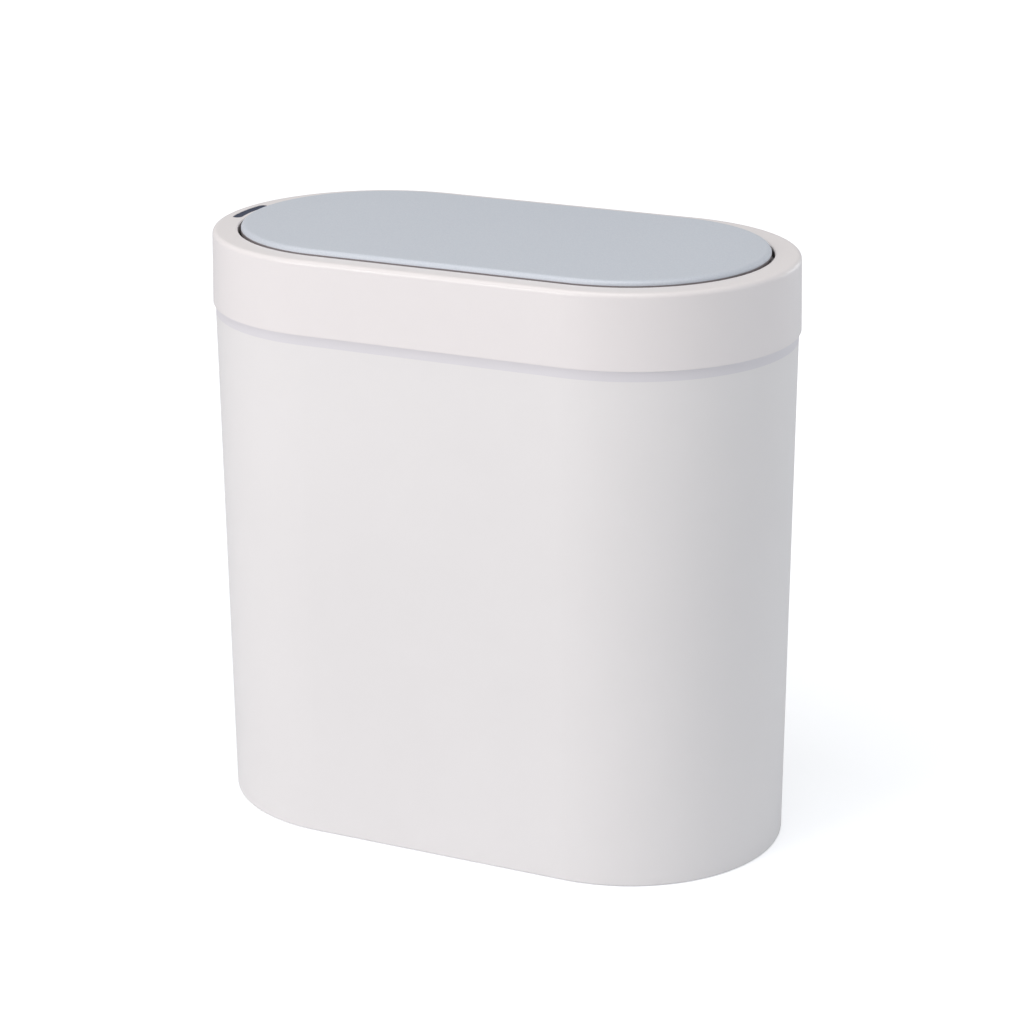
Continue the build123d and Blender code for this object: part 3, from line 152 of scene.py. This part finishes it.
def lamp(name, place, target, size, power, colour):
    """A square soft lamp that looks at a point."""
    data = bpy.data.lights.new(name, "AREA")
    data.shape = "RECTANGLE"
    data.size, data.size_y = size
    data.energy = power
    data.color = colour
    thing = bpy.data.objects.new(name, data)
    bpy.context.scene.collection.objects.link(thing)
    thing.location = place
    thing.rotation_euler = (Vector(target) - Vector(place)).to_track_quat("-Z", "Y").to_euler()


lamp("key_lamp", (-1.15, -2.25, 0.95), (0, 0, 0.15), (1.4, 1.4), 23.5, (1.0, 0.972, 0.962))
lamp("top_lamp", (-0.05, -0.45, 1.6), (0, -0.02, 0.3), (1.2, 0.8), 8, (1.0, 0.985, 0.975))
lamp("end_lamp", (2.0, 0.4, 0.5), (0, 0, 0.1), (1.2, 1.2), 3.5, (0.74, 0.87, 1.0))
lamp("back_lamp", (1.0, 2.1, 0.4), (0, 0, 0.12), (1.4, 0.8), 5, (0.96, 0.98, 1.0))

world = bpy.data.worlds.new("studio")
bpy.context.scene.world = world
world.use_nodes = True
world.node_tree.nodes.clear()
sky = Shade(world.node_tree)
seen = sky.add("LightPath", output="Is Camera Ray")
room = sky.add("Background", inputs={"Color": (1.0, 1.0, 1.0, 1), "Strength": 0.51})
white = sky.add("Background", inputs={"Color": (1, 1, 1, 1), "Strength": 1.0})
world_out = world.node_tree.nodes.new("ShaderNodeOutputWorld")
world.node_tree.links.new(sky.add("MixShader", inputs={0: seen, 1: room, 2: white}).socket,
                          world_out.inputs["Surface"])

floor_mesh = bpy.data.meshes.new("floor")
floor_shape = bmesh.new()
bmesh.ops.create_grid(floor_shape, x_segments=1, y_segments=1, size=4)
floor_shape.to_mesh(floor_mesh)
floor_shape.free()
floor = bpy.data.objects.new("floor", floor_mesh)
bpy.context.scene.collection.objects.link(floor)
floor_paint, shade = blank("pale_floor")
where = shade.add("TexCoord", output="Object")
ripple = shade.add("TexNoise", inputs={"Vector": where, "Scale": 90.0, "Detail": 3.0})
matt = shade.add("BsdfPrincipled", inputs={
    "Base Color": (0.83, 0.85, 0.88, 1), "Roughness": 0.75 + 0.1 * ripple, "Specular IOR Level": 0.2})
near_glow = shade.add("Emission", inputs={"Color": (1, 1, 1, 1), "Strength": 0.42})
far_glow = shade.add("Emission", inputs={"Color": (1, 1, 1, 1), "Strength": 0.62})
away = shade.add("VectorMath", {"operation": "LENGTH"}, {0: where}, output="Value")
far = shade.add("MapRange", {"clamp": True}, {0: away, 1: 0.3, 2: 1.1, 3: 0.0, 4: 1.0})
glow = shade.add("MixShader", inputs={0: far, 1: near_glow, 2: far_glow})
seen = shade.add("LightPath", output="Is Camera Ray")
dark = shade.add("BsdfTransparent", inputs={"Color": (0, 0, 0, 1)})
lift = shade.add("MixShader", inputs={0: seen, 1: dark, 2: glow})
floor_mesh.materials.append(close(floor_paint, shade.add("AddShader", inputs={0: matt, 1: lift})))


# Bucket: one injection-moulded polypropylene shell in white with a soft gloss and a fine
# sink-free grain. It stands on its own foot ring.
def smooth(thing, angle=32):
    """Shades a piece's curved faces smooth and keeps its real edges sharp."""
    for face in thing.data.polygons:
        face.use_smooth = True
    thing.data.set_sharp_from_angle(angle=math.radians(angle))


def dress(material, *names):
    """Gives carried-over CAD nodes a finished material."""
    for name in names:
        nodes[name].data.materials.clear()
        nodes[name].data.materials.append(material)
        smooth(nodes[name])


def mixed(shade, amount, first, second):
    """Colour between two others, each a plain colour or the output of another node."""
    ends = [value if isinstance(value, Shade) else (*value, 1) for value in (first, second)]
    return shade.add("Mix", {"data_type": "RGBA"}, {0: amount, 6: ends[0], 7: ends[1]}, output=2)


def moulded(name, colour, roughness=0.4, grain=900.0, depth=0.02, shift=0.03, coat=0.0):
    """Moulded plastic: slight tone drift, fine surface grain, and a little uneven gloss."""
    material, shade = blank(name)
    where = shade.add("TexCoord", output="Object")
    drift = shade.add("TexNoise", inputs={"Vector": where, "Scale": 9.0, "Detail": 2.0})
    fine = shade.add("TexNoise", inputs={"Vector": where, "Scale": grain, "Detail": 2.0})
    broad = shade.add("TexNoise", inputs={"Vector": where, "Scale": 46.0, "Detail": 3.0})
    darker = tuple(v * (1 - shift) for v in colour)
    lighter = tuple(min(v * (1 + shift), 1) for v in colour)
    tone = mixed(shade, drift, darker, lighter)
    rough = roughness - 0.04 + 0.08 * broad
    bump = shade.add("Bump", inputs={"Strength": 0.25, "Distance": depth / 1000, "Height": fine})
    shader = shade.add("BsdfPrincipled", inputs={
        "Base Color": tone, "Roughness": rough, "Normal": bump,
        "Coat Weight": coat, "Coat Roughness": 0.12, "IOR": 1.49})
    return close(material, shader)


white_shell = moulded("white_shell", linear(232, 229, 229), roughness=0.36, coat=0.12)
dress(white_shell, "bucket")


# Head ring: the same white plastic as the bucket, moulded with the flat rim and cut for the
# lid and for the sensor's window. It lifts off with everything that it carries.
rim_white = moulded("rim_white", linear(233, 228, 228), roughness=0.33, shift=0.02, coat=0.15)
dress(rim_white, "head_ring")


# Head frame: a grey moulding that shows as a band between the bucket and the ring. Its deck,
# battery door and skirt are of the same grey, with a slightly coarser grain.
band_grey = moulded("band_grey", linear(222, 219, 223), roughness=0.5, grain=700.0, depth=0.03)
deck_grey = moulded("deck_grey", linear(196, 195, 199), roughness=0.55, grain=420.0, depth=0.05)
dress(band_grey, "head_frame")
dress(deck_grey, "deck_cover", "battery_door")


# Lid cap: a thin plastic skin, sprayed with silver-blue metallic paint under a satin lacquer, with a grey
# band of painted shade on its skirt that darkens the seam at the rim.
def sprayed_silver(name, colour, flake_colour, seam_shade_colour, seam_shade_top):
    """Satin metallic paint above a given height, and below it on the skirt a grey band of painted shade,
    which stands in for the shade in the seam between lid and rim.
    """
    material, shade = blank(name)
    where = shade.add("TexCoord", output="Object")
    height = shade.add("SeparateXYZ", inputs={0: where}, output="Z")
    flake = shade.add("TexVoronoi", {"feature": "F1"}, {"Vector": where, "Scale": 2600.0}, output="Color")
    spark = shade.add("SeparateColor", inputs={0: flake}, output=0)
    drift = shade.add("TexNoise", inputs={"Vector": where, "Scale": 7.0, "Detail": 2.0})
    haze = shade.add("TexNoise", inputs={"Vector": where, "Scale": 60.0, "Detail": 3.0})
    # Below this height the skirt takes the grey of painted shade, for the dark seam between lid and rim.
    painted = height + 0.00025 * haze > seam_shade_top
    tone = mixed(shade, painted, seam_shade_colour, mixed(shade, 0.7 * spark + 0.3 * drift, colour, flake_colour))
    bump = shade.add("Bump", inputs={"Strength": 0.12, "Distance": 0.00002, "Height": spark})
    return close(material, shade.add("BsdfPrincipled", inputs={
        "Base Color": tone, "Metallic": 0.25 * painted, "Roughness": 0.56 + 0.08 * haze, "Normal": bump,
        "Coat Weight": 0.04 * painted, "Coat Roughness": 0.45}))


# The grey colour and the height given last are painted shade: a band on the skirt that darkens the seam at
# the rim.
silver_paint = sprayed_silver(
    "silver_paint", linear(199, 205, 215), linear(211, 216, 223), linear(142, 135, 137), 0.30035)
dress(silver_paint, "lid_cap")


# Lid tray: the unpainted grey moulding that closes the lid from below, with two soft bumpers
# of black rubber pushed into it where it lands on the ring's stops.
tray_grey = moulded("tray_grey", linear(205, 206, 209), roughness=0.48, grain=520.0, depth=0.04)
dress(tray_grey, "lid_tray")


def rubber(name, colour):
    """Soft matt rubber with a dusty bloom."""
    material, shade = blank(name)
    where = shade.add("TexCoord", output="Object")
    dust = shade.add("TexNoise", inputs={"Vector": where, "Scale": 700.0, "Detail": 4.0})
    tone = mixed(shade, dust, colour, tuple(v * 1.7 for v in colour))
    bump = shade.add("Bump", inputs={"Strength": 0.3, "Distance": 0.00005, "Height": dust})
    return close(material, shade.add("BsdfPrincipled", inputs={
        "Base Color": tone, "Roughness": 0.78 + 0.12 * dust, "Normal": bump, "Specular IOR Level": 0.3}))


bumper_rubber = rubber("bumper_rubber", linear(38, 38, 40))
dress(bumper_rubber, "lid_bumpers")


# Sensor window: a polished pill of smoked acrylic, pushed up through the rim from below. It
# seats on its own flange, a hair below the rim's face.
material, shade = blank("smoked_acrylic")
where = shade.add("TexCoord", output="Object")
cloud = shade.add("TexNoise", inputs={"Vector": where, "Scale": 240.0, "Detail": 2.0})
tone = mixed(shade, cloud, linear(22, 36, 66), linear(30, 44, 74))
smoked_acrylic = close(material, shade.add("BsdfPrincipled", inputs={
    "Base Color": tone, "Roughness": 0.3 + 0.06 * cloud, "IOR": 1.49, "Specular IOR Level": 0.1}))
dress(smoked_acrylic, "sensor_window")


# Sensor holder and its three diodes: black ABS with a light well for each, so that the emitter
# can't shine straight into the receiver. The diodes are cast resin, the receiver's dyed black.
black_moulding = moulded("black_moulding", linear(34, 34, 36), roughness=0.5, grain=800.0, depth=0.03,
                         shift=0.1)
dress(black_moulding, "sensor_holder")


def resin(name, colour, clear):
    """Cast resin of a diode: glossy, with faint cloudy patches."""
    material, shade = blank(name)
    where = shade.add("TexCoord", output="Object")
    haze = shade.add("TexNoise", inputs={"Vector": where, "Scale": 900.0, "Detail": 2.0})
    tone = mixed(shade, haze, colour, tuple(min(v * 1.25, 1) for v in colour))
    return close(material, shade.add("BsdfPrincipled", inputs={
        "Base Color": tone, "Roughness": 0.06 + 0.06 * haze, "Transmission Weight": clear, "IOR": 1.54}))


dress(resin("clear_resin", linear(214, 222, 236), 0.6), "ir_emitter")
dress(resin("dyed_resin", linear(26, 20, 30), 0.0), "ir_receiver")
dress(resin("milky_resin", linear(226, 232, 226), 0.35), "status_light")


# Circuit boards: green solder resist over copper traces on glass laminate, with the parts that
# stand on them. The sensor's board hangs under its holder, the main one stands on posts.
def inside(shade, where, low, high):
    """Mask that is 1 inside a box, from a position split into its axes."""
    mask = 1.0
    for axis, (first, last) in zip("XYZ", zip(low, high)):
        place = shade.add("SeparateXYZ", inputs={0: where}, output=axis)
        mask = (place > first) * (1 - (place > last)) * mask
    return mask


def circuit_board(name, parts):
    """Solder resist with traces and plated pads, and a colour for each box of parts."""
    material, shade = blank(name)
    where = shade.add("TexCoord", output="Object")
    tracks = shade.add("TexBrick", {"offset": 0.37}, {
        "Vector": where, "Scale": 1.0, "Mortar Size": 0.00022, "Mortar Smooth": 0.3,
        "Brick Width": 0.0061, "Row Height": 0.0017, "Bias": 0.0,
        "Color1": (0, 0, 0, 1), "Color2": (0, 0, 0, 1), "Mortar": (1, 1, 1, 1)}, output="Fac")
    pads = shade.add("TexVoronoi", {"feature": "F1"}, {"Vector": where, "Scale": 380.0, "Randomness": 0.25})
    weave = shade.add("TexNoise", inputs={"Vector": where, "Scale": 1500.0, "Detail": 2.0})
    tone = mixed(shade, tracks, linear(24, 84, 52), linear(38, 112, 68))
    tone = mixed(shade, pads.maths("LESS_THAN", pads, 0.17), tone, linear(196, 190, 170))
    rough = 0.32 + 0.1 * weave
    for low, high, colour in parts:
        mask = inside(shade, where, low, high)
        tone = mixed(shade, mask, tone, colour)
        rough = rough + 0.15 * mask
    bump = shade.add("Bump", inputs={"Strength": 0.3, "Distance": 0.00004, "Height": tracks + 0.3 * weave})
    return close(material, shade.add("BsdfPrincipled", inputs={
        "Base Color": tone, "Roughness": rough, "Normal": bump, "Specular IOR Level": 0.5}))


board_thickness = 0.0016
header_reach = 0.0075
margin = 0.001
nylon = linear(232, 228, 214)
epoxy = linear(30, 30, 33)
sleeve = linear(28, 34, 58)

main_low, main_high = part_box("main_board")
main_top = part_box("switch_lead")[0][2]
capacitor_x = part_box("battery_lead")[0][0] + header_reach
capacitor_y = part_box("battery_lead")[1][1]
standing = [((main_low[0], main_low[1] - margin, main_top),
             (main_high[0] + margin, main_high[1] + margin, 1), nylon),
            ((main_low[0], main_low[1] + 0.34 * (main_high[1] - main_low[1]), main_top),
             (main_low[0] + 0.47 * (main_high[0] - main_low[0]), main_high[1] - header_reach, 1), epoxy),
            ((capacitor_x - 0.4 * header_reach, capacitor_y - margin, main_top),
             (capacitor_x + 0.4 * header_reach, capacitor_y + header_reach, 1), sleeve)]
dress(circuit_board("main_resist", standing), "main_board")

sensor_low, sensor_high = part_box("sensor_board")
hanging = [((sensor_low[0] - margin, sensor_low[1], sensor_low[2] - margin),
            (sensor_high[0], sensor_high[1], sensor_high[2] - board_thickness), nylon)]
dress(circuit_board("sensor_resist", hanging), "sensor_board")


# Screws: zinc-plated steel pan heads with a cross recess. All thread into moulded bosses, so
# only their heads show.
def metal(name, colour, roughness=0.32, grain=(900.0, 900.0, 900.0), depth=0.01):
    """Plated or turned metal: fine directional grain and cloudy gloss."""
    material, shade = blank(name)
    where = shade.add("TexCoord", output="Object")
    stretched = shade.add("Mapping", inputs={0: where, "Scale": grain})
    lines = shade.add("TexNoise", inputs={"Vector": stretched, "Scale": 1.0, "Detail": 4.0})
    cloud = shade.add("TexNoise", inputs={"Vector": where, "Scale": 160.0, "Detail": 2.0})
    tone = mixed(shade, cloud, tuple(v * 0.86 for v in colour), colour)
    bump = shade.add("Bump", inputs={"Strength": 0.25, "Distance": depth / 1000, "Height": lines})
    return close(material, shade.add("BsdfPrincipled", inputs={
        "Base Color": tone, "Metallic": 1.0, "Roughness": roughness - 0.06 + 0.12 * lines, "Normal": bump}))


def solids(node):
    """Boxes of a node's separate solids, as pairs of corners."""
    shape = bmesh.new()
    shape.from_mesh(nodes[node].data)
    bmesh.ops.remove_doubles(shape, verts=shape.verts, dist=0.000002)
    waiting = set(shape.verts)
    boxes = []
    while waiting:
        edge_of = [waiting.pop()]
        found = list(edge_of)
        while edge_of:
            for link in edge_of.pop().link_edges:
                for vert in link.verts:
                    if vert in waiting:
                        waiting.discard(vert)
                        edge_of.append(vert)
                        found.append(vert)
        low = Vector(min(vert.co[axis] for vert in found) for axis in range(3))
        high = Vector(max(vert.co[axis] for vert in found) for axis in range(3))
        boxes.append((low, high))
    shape.free()
    return sorted(boxes, key=lambda box: tuple(round(v, 5) for v in box[0]))


def mesh_piece(name, shape, material, angle=32):
    """A new object from a bmesh, with its material and smooth shading."""
    mesh = bpy.data.meshes.new(name)
    bmesh.ops.recalc_face_normals(shape, faces=shape.faces)
    shape.to_mesh(mesh)
    shape.free()
    thing = bpy.data.objects.new(name, mesh)
    bpy.context.scene.collection.objects.link(thing)
    mesh.materials.append(material)
    smooth(thing, angle)
    return thing


def turned(shape, profile, segments, place=Matrix.Identity(4)):
    """Adds a lathed form: the profile is (radius, height) pairs, closed on the axis at both ends."""
    rings = []
    for radius, height in profile:
        if radius == 0:
            rings.append([shape.verts.new(place @ Vector((0, 0, height)))] * segments)
        else:
            turns = [math.tau * step / segments for step in range(segments)]
            points = [Vector((radius * math.cos(turn), radius * math.sin(turn), height)) for turn in turns]
            rings.append([shape.verts.new(place @ point) for point in points])
    for first, second in zip(rings, rings[1:]):
        for step in range(segments):
            corners = [first[step], first[(step + 1) % segments], second[(step + 1) % segments], second[step]]
            unique = list(dict.fromkeys(corners))
            if len(unique) > 2:
                shape.faces.new(unique)


def screw_head(name, radius, height, shank_radius, shank_length):
    """Mesh of one pan-head screw that stands on the origin, with its cross recess cut in."""
    dome = bmesh.new()
    shank = [(0, -shank_length), (shank_radius * 0.5, -shank_length),
             (shank_radius, -shank_length + shank_radius), (shank_radius, 0)]
    head = [(radius * 0.97, 0), (radius, height * 0.12), (radius, height * 0.38),
            (radius * 0.93, height * 0.64), (radius * 0.76, height * 0.86),
            (radius * 0.5, height * 0.97), (0, height)]
    turned(dome, shank + head, 36)
    body = mesh_piece(name + "_body", dome, zinc)
    cross = bmesh.new()
    arm = radius * 0.56
    half = radius * 0.13
    deep = height * 0.34
    for turn in (0, math.pi / 2):
        for side in (-1, 1):
            spin = Matrix.Rotation(turn + (side < 0) * math.pi, 4, "Z")
            lower = [(0, -half * 0.5, deep), (arm * 0.45, -half * 0.5, deep),
                     (arm * 0.45, half * 0.5, deep), (0, half * 0.5, deep)]
            upper = [(0, -half, height * 1.4), (arm, -half, height * 1.4),
                     (arm, half, height * 1.4), (0, half, height * 1.4)]
            ring = [cross.verts.new(spin @ Vector(point)) for point in lower + upper]
            for face in ((0, 3, 2, 1), (4, 5, 6, 7), (0, 1, 5, 4), (1, 2, 6, 5), (2, 3, 7, 6), (3, 0, 4, 7)):
                cross.faces.new([ring[corner] for corner in face])
    cutter = mesh_piece(name + "_cross", cross, zinc)
    cut = body.modifiers.new("cross", "BOOLEAN")
    cut.operation = "DIFFERENCE"
    cut.solver = "EXACT"
    cut.use_self = True
    cut.object = cutter
    bpy.context.view_layer.update()
    made = bpy.data.meshes.new_from_object(body.evaluated_get(bpy.context.evaluated_depsgraph_get()))
    bpy.data.objects.remove(body)
    bpy.data.objects.remove(cutter)
    return made


def screw_set(node, body, axis, head_high, head_height, shank_radius):
    """Detailed screws in place of a node of plain ones, each where its solid is."""
    shape = bmesh.new()
    made = None
    for low, high in solids(node):
        middle = (low + high) / 2
        radius = (high - low)[(axis + 1) % 3] / 2
        foot = middle.copy()
        foot[axis] = high[axis] - head_height if head_high else low[axis] + head_height
        if made is None:
            made = screw_head(node, radius, head_height, shank_radius, (high - low)[axis] - head_height)
        along = Vector((0, 0, 0))
        along[axis] = 1 if head_high else -1
        spin = Matrix.Rotation(2.4 * len(shape.verts) / len(made.vertices), 4, "Z")
        start = len(shape.verts)
        shape.from_mesh(made)
        shape.verts.ensure_lookup_table()
        place = Matrix.Translation(foot) @ along.to_track_quat("Z", "Y").to_matrix().to_4x4() @ spin
        bmesh.ops.transform(shape, matrix=place, verts=shape.verts[start:])
    piece = mesh_piece(node.replace("screws", "pan_screws"), shape, zinc)
    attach(piece, body)
    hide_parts(node)


zinc = metal("zinc_plate", linear(196, 198, 202), roughness=0.3)
screw_set("frame_screws", "head", 2, False, 0.0016, 0.00123)
screw_set("deck_screws", "head", 2, True, 0.0014, 0.00098)
screw_set("bracket_screws", "head", 2, True, 0.0011, 0.00078)
screw_set("sensor_screws", "head", 2, False, 0.0011, 0.00078)
screw_set("board_screws", "head", 2, True, 0.0011, 0.00078)
screw_set("gear_case_screws", "head", 1, True, 0.0013, 0.00098)


# Hinge brackets and pins: bent strip of zinc-plated steel, screwed to the deck, and the two
# pins of bright drawn wire that the lid turns on.
strip_steel = metal("strip_steel", linear(186, 188, 192),
                    roughness=0.34, grain=(240.0, 2600.0, 2600.0), depth=0.02)
drawn_wire = metal("drawn_wire", linear(214, 214, 216), roughness=0.2, grain=(1800.0, 200.0, 1800.0))
dress(strip_steel, "hinge_brackets")
dress(drawn_wire, "hinge_pins", "gear_pins", "motor_shaft")


# Gear train: acetal wheels moulded in their natural milky white, in a case of grey ABS. The
# motor's own pinion is turned from brass.
acetal = moulded("acetal", linear(236, 232, 220), roughness=0.34, grain=1200.0, depth=0.008, coat=0.1)
case_grey = moulded("case_grey", linear(188, 190, 194), roughness=0.5, grain=640.0, depth=0.04)
brass = metal("turned_brass", linear(206, 170, 96), roughness=0.28, grain=(300.0, 2400.0, 300.0))
dress(acetal, "idler_gear", "output_gear", "lid_gear")
dress(case_grey, "gear_case", "gear_case_cover")
dress(brass, "motor_pinion")


# Gear motor: reduction box with brass plates, then a drawn steel can with flat sides, closed by
# a black end cap that the lead leaves.
reduction_length = 0.009
can_length = 0.015
material, shade = blank("motor_skins")
where = shade.add("TexCoord", output="Object")
along = shade.add("SeparateXYZ", inputs={0: where}, output="Y")
grained = shade.add("Mapping", inputs={0: where, "Scale": (1800.0, 160.0, 1800.0)})
drawn = shade.add("TexNoise", inputs={"Vector": grained, "Scale": 1.0, "Detail": 3.0})
box_end = float(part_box("gear_motor")[0][1]) + reduction_length
can_end = box_end + can_length
on_can = along > box_end
on_cap = along > can_end
plates = (along * 700.0).maths("FRACT", along * 700.0) > 0.5
tone = mixed(shade, plates, linear(150, 152, 156), linear(204, 172, 104))
tone = mixed(shade, on_can, tone, linear(198, 200, 204))
tone = mixed(shade, on_cap, tone, linear(40, 40, 42))
bump = shade.add("Bump", inputs={"Strength": 0.3, "Distance": 0.00002, "Height": drawn})
motor_skins = close(material, shade.add("BsdfPrincipled", inputs={
    "Base Color": tone, "Metallic": 1 - on_cap, "Roughness": 0.26 + 0.12 * drawn + 0.15 * on_cap,
    "Normal": bump}))
dress(motor_skins, "gear_motor")


# Battery cells: two AA cells in plain shrunk film with one pale ring near the positive end. The
# steel of the can shows at both ends.
material, shade = blank("cell_film")
where = shade.add("TexCoord", output="Object")
split = shade.add("SeparateXYZ", inputs={0: where}, output="Y")
across = shade.add("SeparateXYZ", inputs={0: where}, output="X")
cells_low, cells_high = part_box("battery_cells")
cell_end = 0.024
film_end = 0.0232
facing_way = (across > float(cells_low[0] + cells_high[0]) / 2) * 2.0 - 1.0
towards_nub = split * facing_way
bare_end = split.maths("ABSOLUTE", split) > film_end
pale_ring = (towards_nub > 0.0155) * (1 - (towards_nub > 0.0172))
crinkle = shade.add("TexNoise", inputs={"Vector": where, "Scale": 340.0, "Detail": 2.0})
tone = mixed(shade, crinkle, linear(44, 62, 84), linear(52, 72, 96))
tone = mixed(shade, pale_ring, tone, linear(206, 208, 212))
tone = mixed(shade, bare_end, tone, linear(204, 204, 206))
bump = shade.add("Bump", inputs={"Strength": 0.2, "Distance": 0.00005, "Height": crinkle})
cell_film = close(material, shade.add("BsdfPrincipled", inputs={
    "Base Color": tone, "Metallic": bare_end, "Roughness": 0.26 + 0.1 * crinkle, "Normal": bump,
    "Coat Weight": 0.2}))
dress(cell_film, "battery_cells")


# Battery contacts: a nickel-plated strip at each end of the bay, with a coiled spring for each
# negative end and a pressed bump for each positive one.
contact_plate = 0.0005
contact_inset = 0.0012
wire_radius = 0.0003
spring_turns = 5
spring_foot = 0.0044
spring_tip = 0.0029
bump_radius = 0.0024
nickel = metal("nickel_plate", linear(206, 203, 196), roughness=0.24, grain=(2000.0, 2000.0, 260.0))


def coil(name, foot, tip, turns):
    """A conical spring as one wire, from its foot's centre to its tip's."""
    line = bpy.data.curves.new(name, "CURVE")
    line.dimensions = "3D"
    line.bevel_depth = wire_radius
    line.bevel_resolution = 3
    path = line.splines.new("POLY")
    steps = turns * 24
    path.points.add(steps)
    for step in range(steps + 1):
        share = step / steps
        radius = (spring_foot + (spring_tip - spring_foot) * share) - wire_radius
        rise = min(max((share - 0.12) / 0.76, 0), 1)
        turn = math.tau * turns * share
        path.points[step].co = (foot[0] + radius * math.cos(turn), foot[1] + (tip[1] - foot[1]) * rise,
                                foot[2] + radius * math.sin(turn), 1)
    thing = bpy.data.objects.new(name, line)
    bpy.context.scene.collection.objects.link(thing)
    line.materials.append(nickel)
    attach(thing, "head")
    return thing


contacts_low, contacts_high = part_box("battery_contacts")
cell_radius = float(cells_high[2] - cells_low[2]) / 2
cell_axis = float(cells_high[2] + cells_low[2]) / 2
cell_rows = {-1: float(cells_low[0]) + cell_radius, 1: float(cells_high[0]) - cell_radius}
plates = bmesh.new()
for end in (-1, 1):
    face = (contacts_high[1] if end > 0 else contacts_low[1]) - end * contact_plate
    outer = face + end * contact_plate
    left, right = contacts_low[0], contacts_high[0]
    base, crown = contacts_low[2], contacts_high[2]
    corners = [(left + contact_inset, base), (right - contact_inset, base),
               (right, base + contact_inset), (right, crown - contact_inset),
               (right - contact_inset, crown), (left + contact_inset, crown),
               (left, crown - contact_inset), (left, base + contact_inset)]
    near = [plates.verts.new((x, face, z)) for x, z in corners]
    far = [plates.verts.new((x, outer, z)) for x, z in corners]
    plates.faces.new(near)
    plates.faces.new(far)
    for step in range(len(corners)):
        after = (step + 1) % len(corners)
        plates.faces.new([near[step], near[after], far[after], far[step]])
    for side, row in cell_rows.items():
        if side == end:
            reach = 0.5 * (abs(face) - cell_end - 0.0012)
            lean = Matrix.Translation((row, face, cell_axis)) @ Matrix.Rotation(end * math.pi / 2, 4, "X")
            pressed = [(0, 0), (bump_radius, 0), (bump_radius * 0.9, reach * 0.45),
                       (bump_radius * 0.6, reach * 0.85), (0, reach)]
            turned(plates, pressed, 24, lean)
        else:
            tip = end * (cell_end + 2 * wire_radius)
            spring = coil("contact_spring_" + ("low" if end < 0 else "high"),
                          (row, face - end * wire_radius, cell_axis), (row, tip, cell_axis), spring_turns)
            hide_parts("battery_contacts")
strips = mesh_piece("contact_strips", plates, nickel)
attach(strips, "head")
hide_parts("battery_contacts")


# Power switch: a black slide switch under the deck, whose ribbed knob stands up through it.
material, shade = blank("ribbed_black")
where = shade.add("TexCoord", output="Object")
along = shade.add("SeparateXYZ", inputs={0: where}, output="Y")
ridge = (along * 5200.0).maths("SINE", along * 5200.0)
speck = shade.add("TexNoise", inputs={"Vector": where, "Scale": 900.0, "Detail": 2.0})
tone = mixed(shade, speck, linear(34, 34, 36), linear(48, 48, 50))
bump = shade.add("Bump", inputs={"Strength": 0.9, "Distance": 0.0003, "Height": ridge + 0.1 * speck})
ribbed_black = close(material, shade.add("BsdfPrincipled", inputs={
    "Base Color": tone, "Roughness": 0.46 + 0.1 * speck, "Normal": bump}))
dress(ribbed_black, "switch_slider")
dress(black_moulding, "power_switch")


# Leads: soft PVC sleeves. The sensor's runs inside the ring, the other three are short ones
# inside the mechanism bay.
material, shade = blank("lead_sleeve")
where = shade.add("TexCoord", output="Object")
drawn = shade.add("TexNoise", inputs={"Vector": where, "Scale": 420.0, "Detail": 3.0})
tone = mixed(shade, drawn, linear(44, 44, 47), linear(60, 60, 63))
bump = shade.add("Bump", inputs={"Strength": 0.2, "Distance": 0.00004, "Height": drawn})
lead_sleeve = close(material, shade.add("BsdfPrincipled", inputs={
    "Base Color": tone, "Roughness": 0.46 + 0.12 * drawn, "Normal": bump, "Specular IOR Level": 0.4}))
dress(lead_sleeve, "sensor_cable", "motor_lead", "battery_lead", "switch_lead")
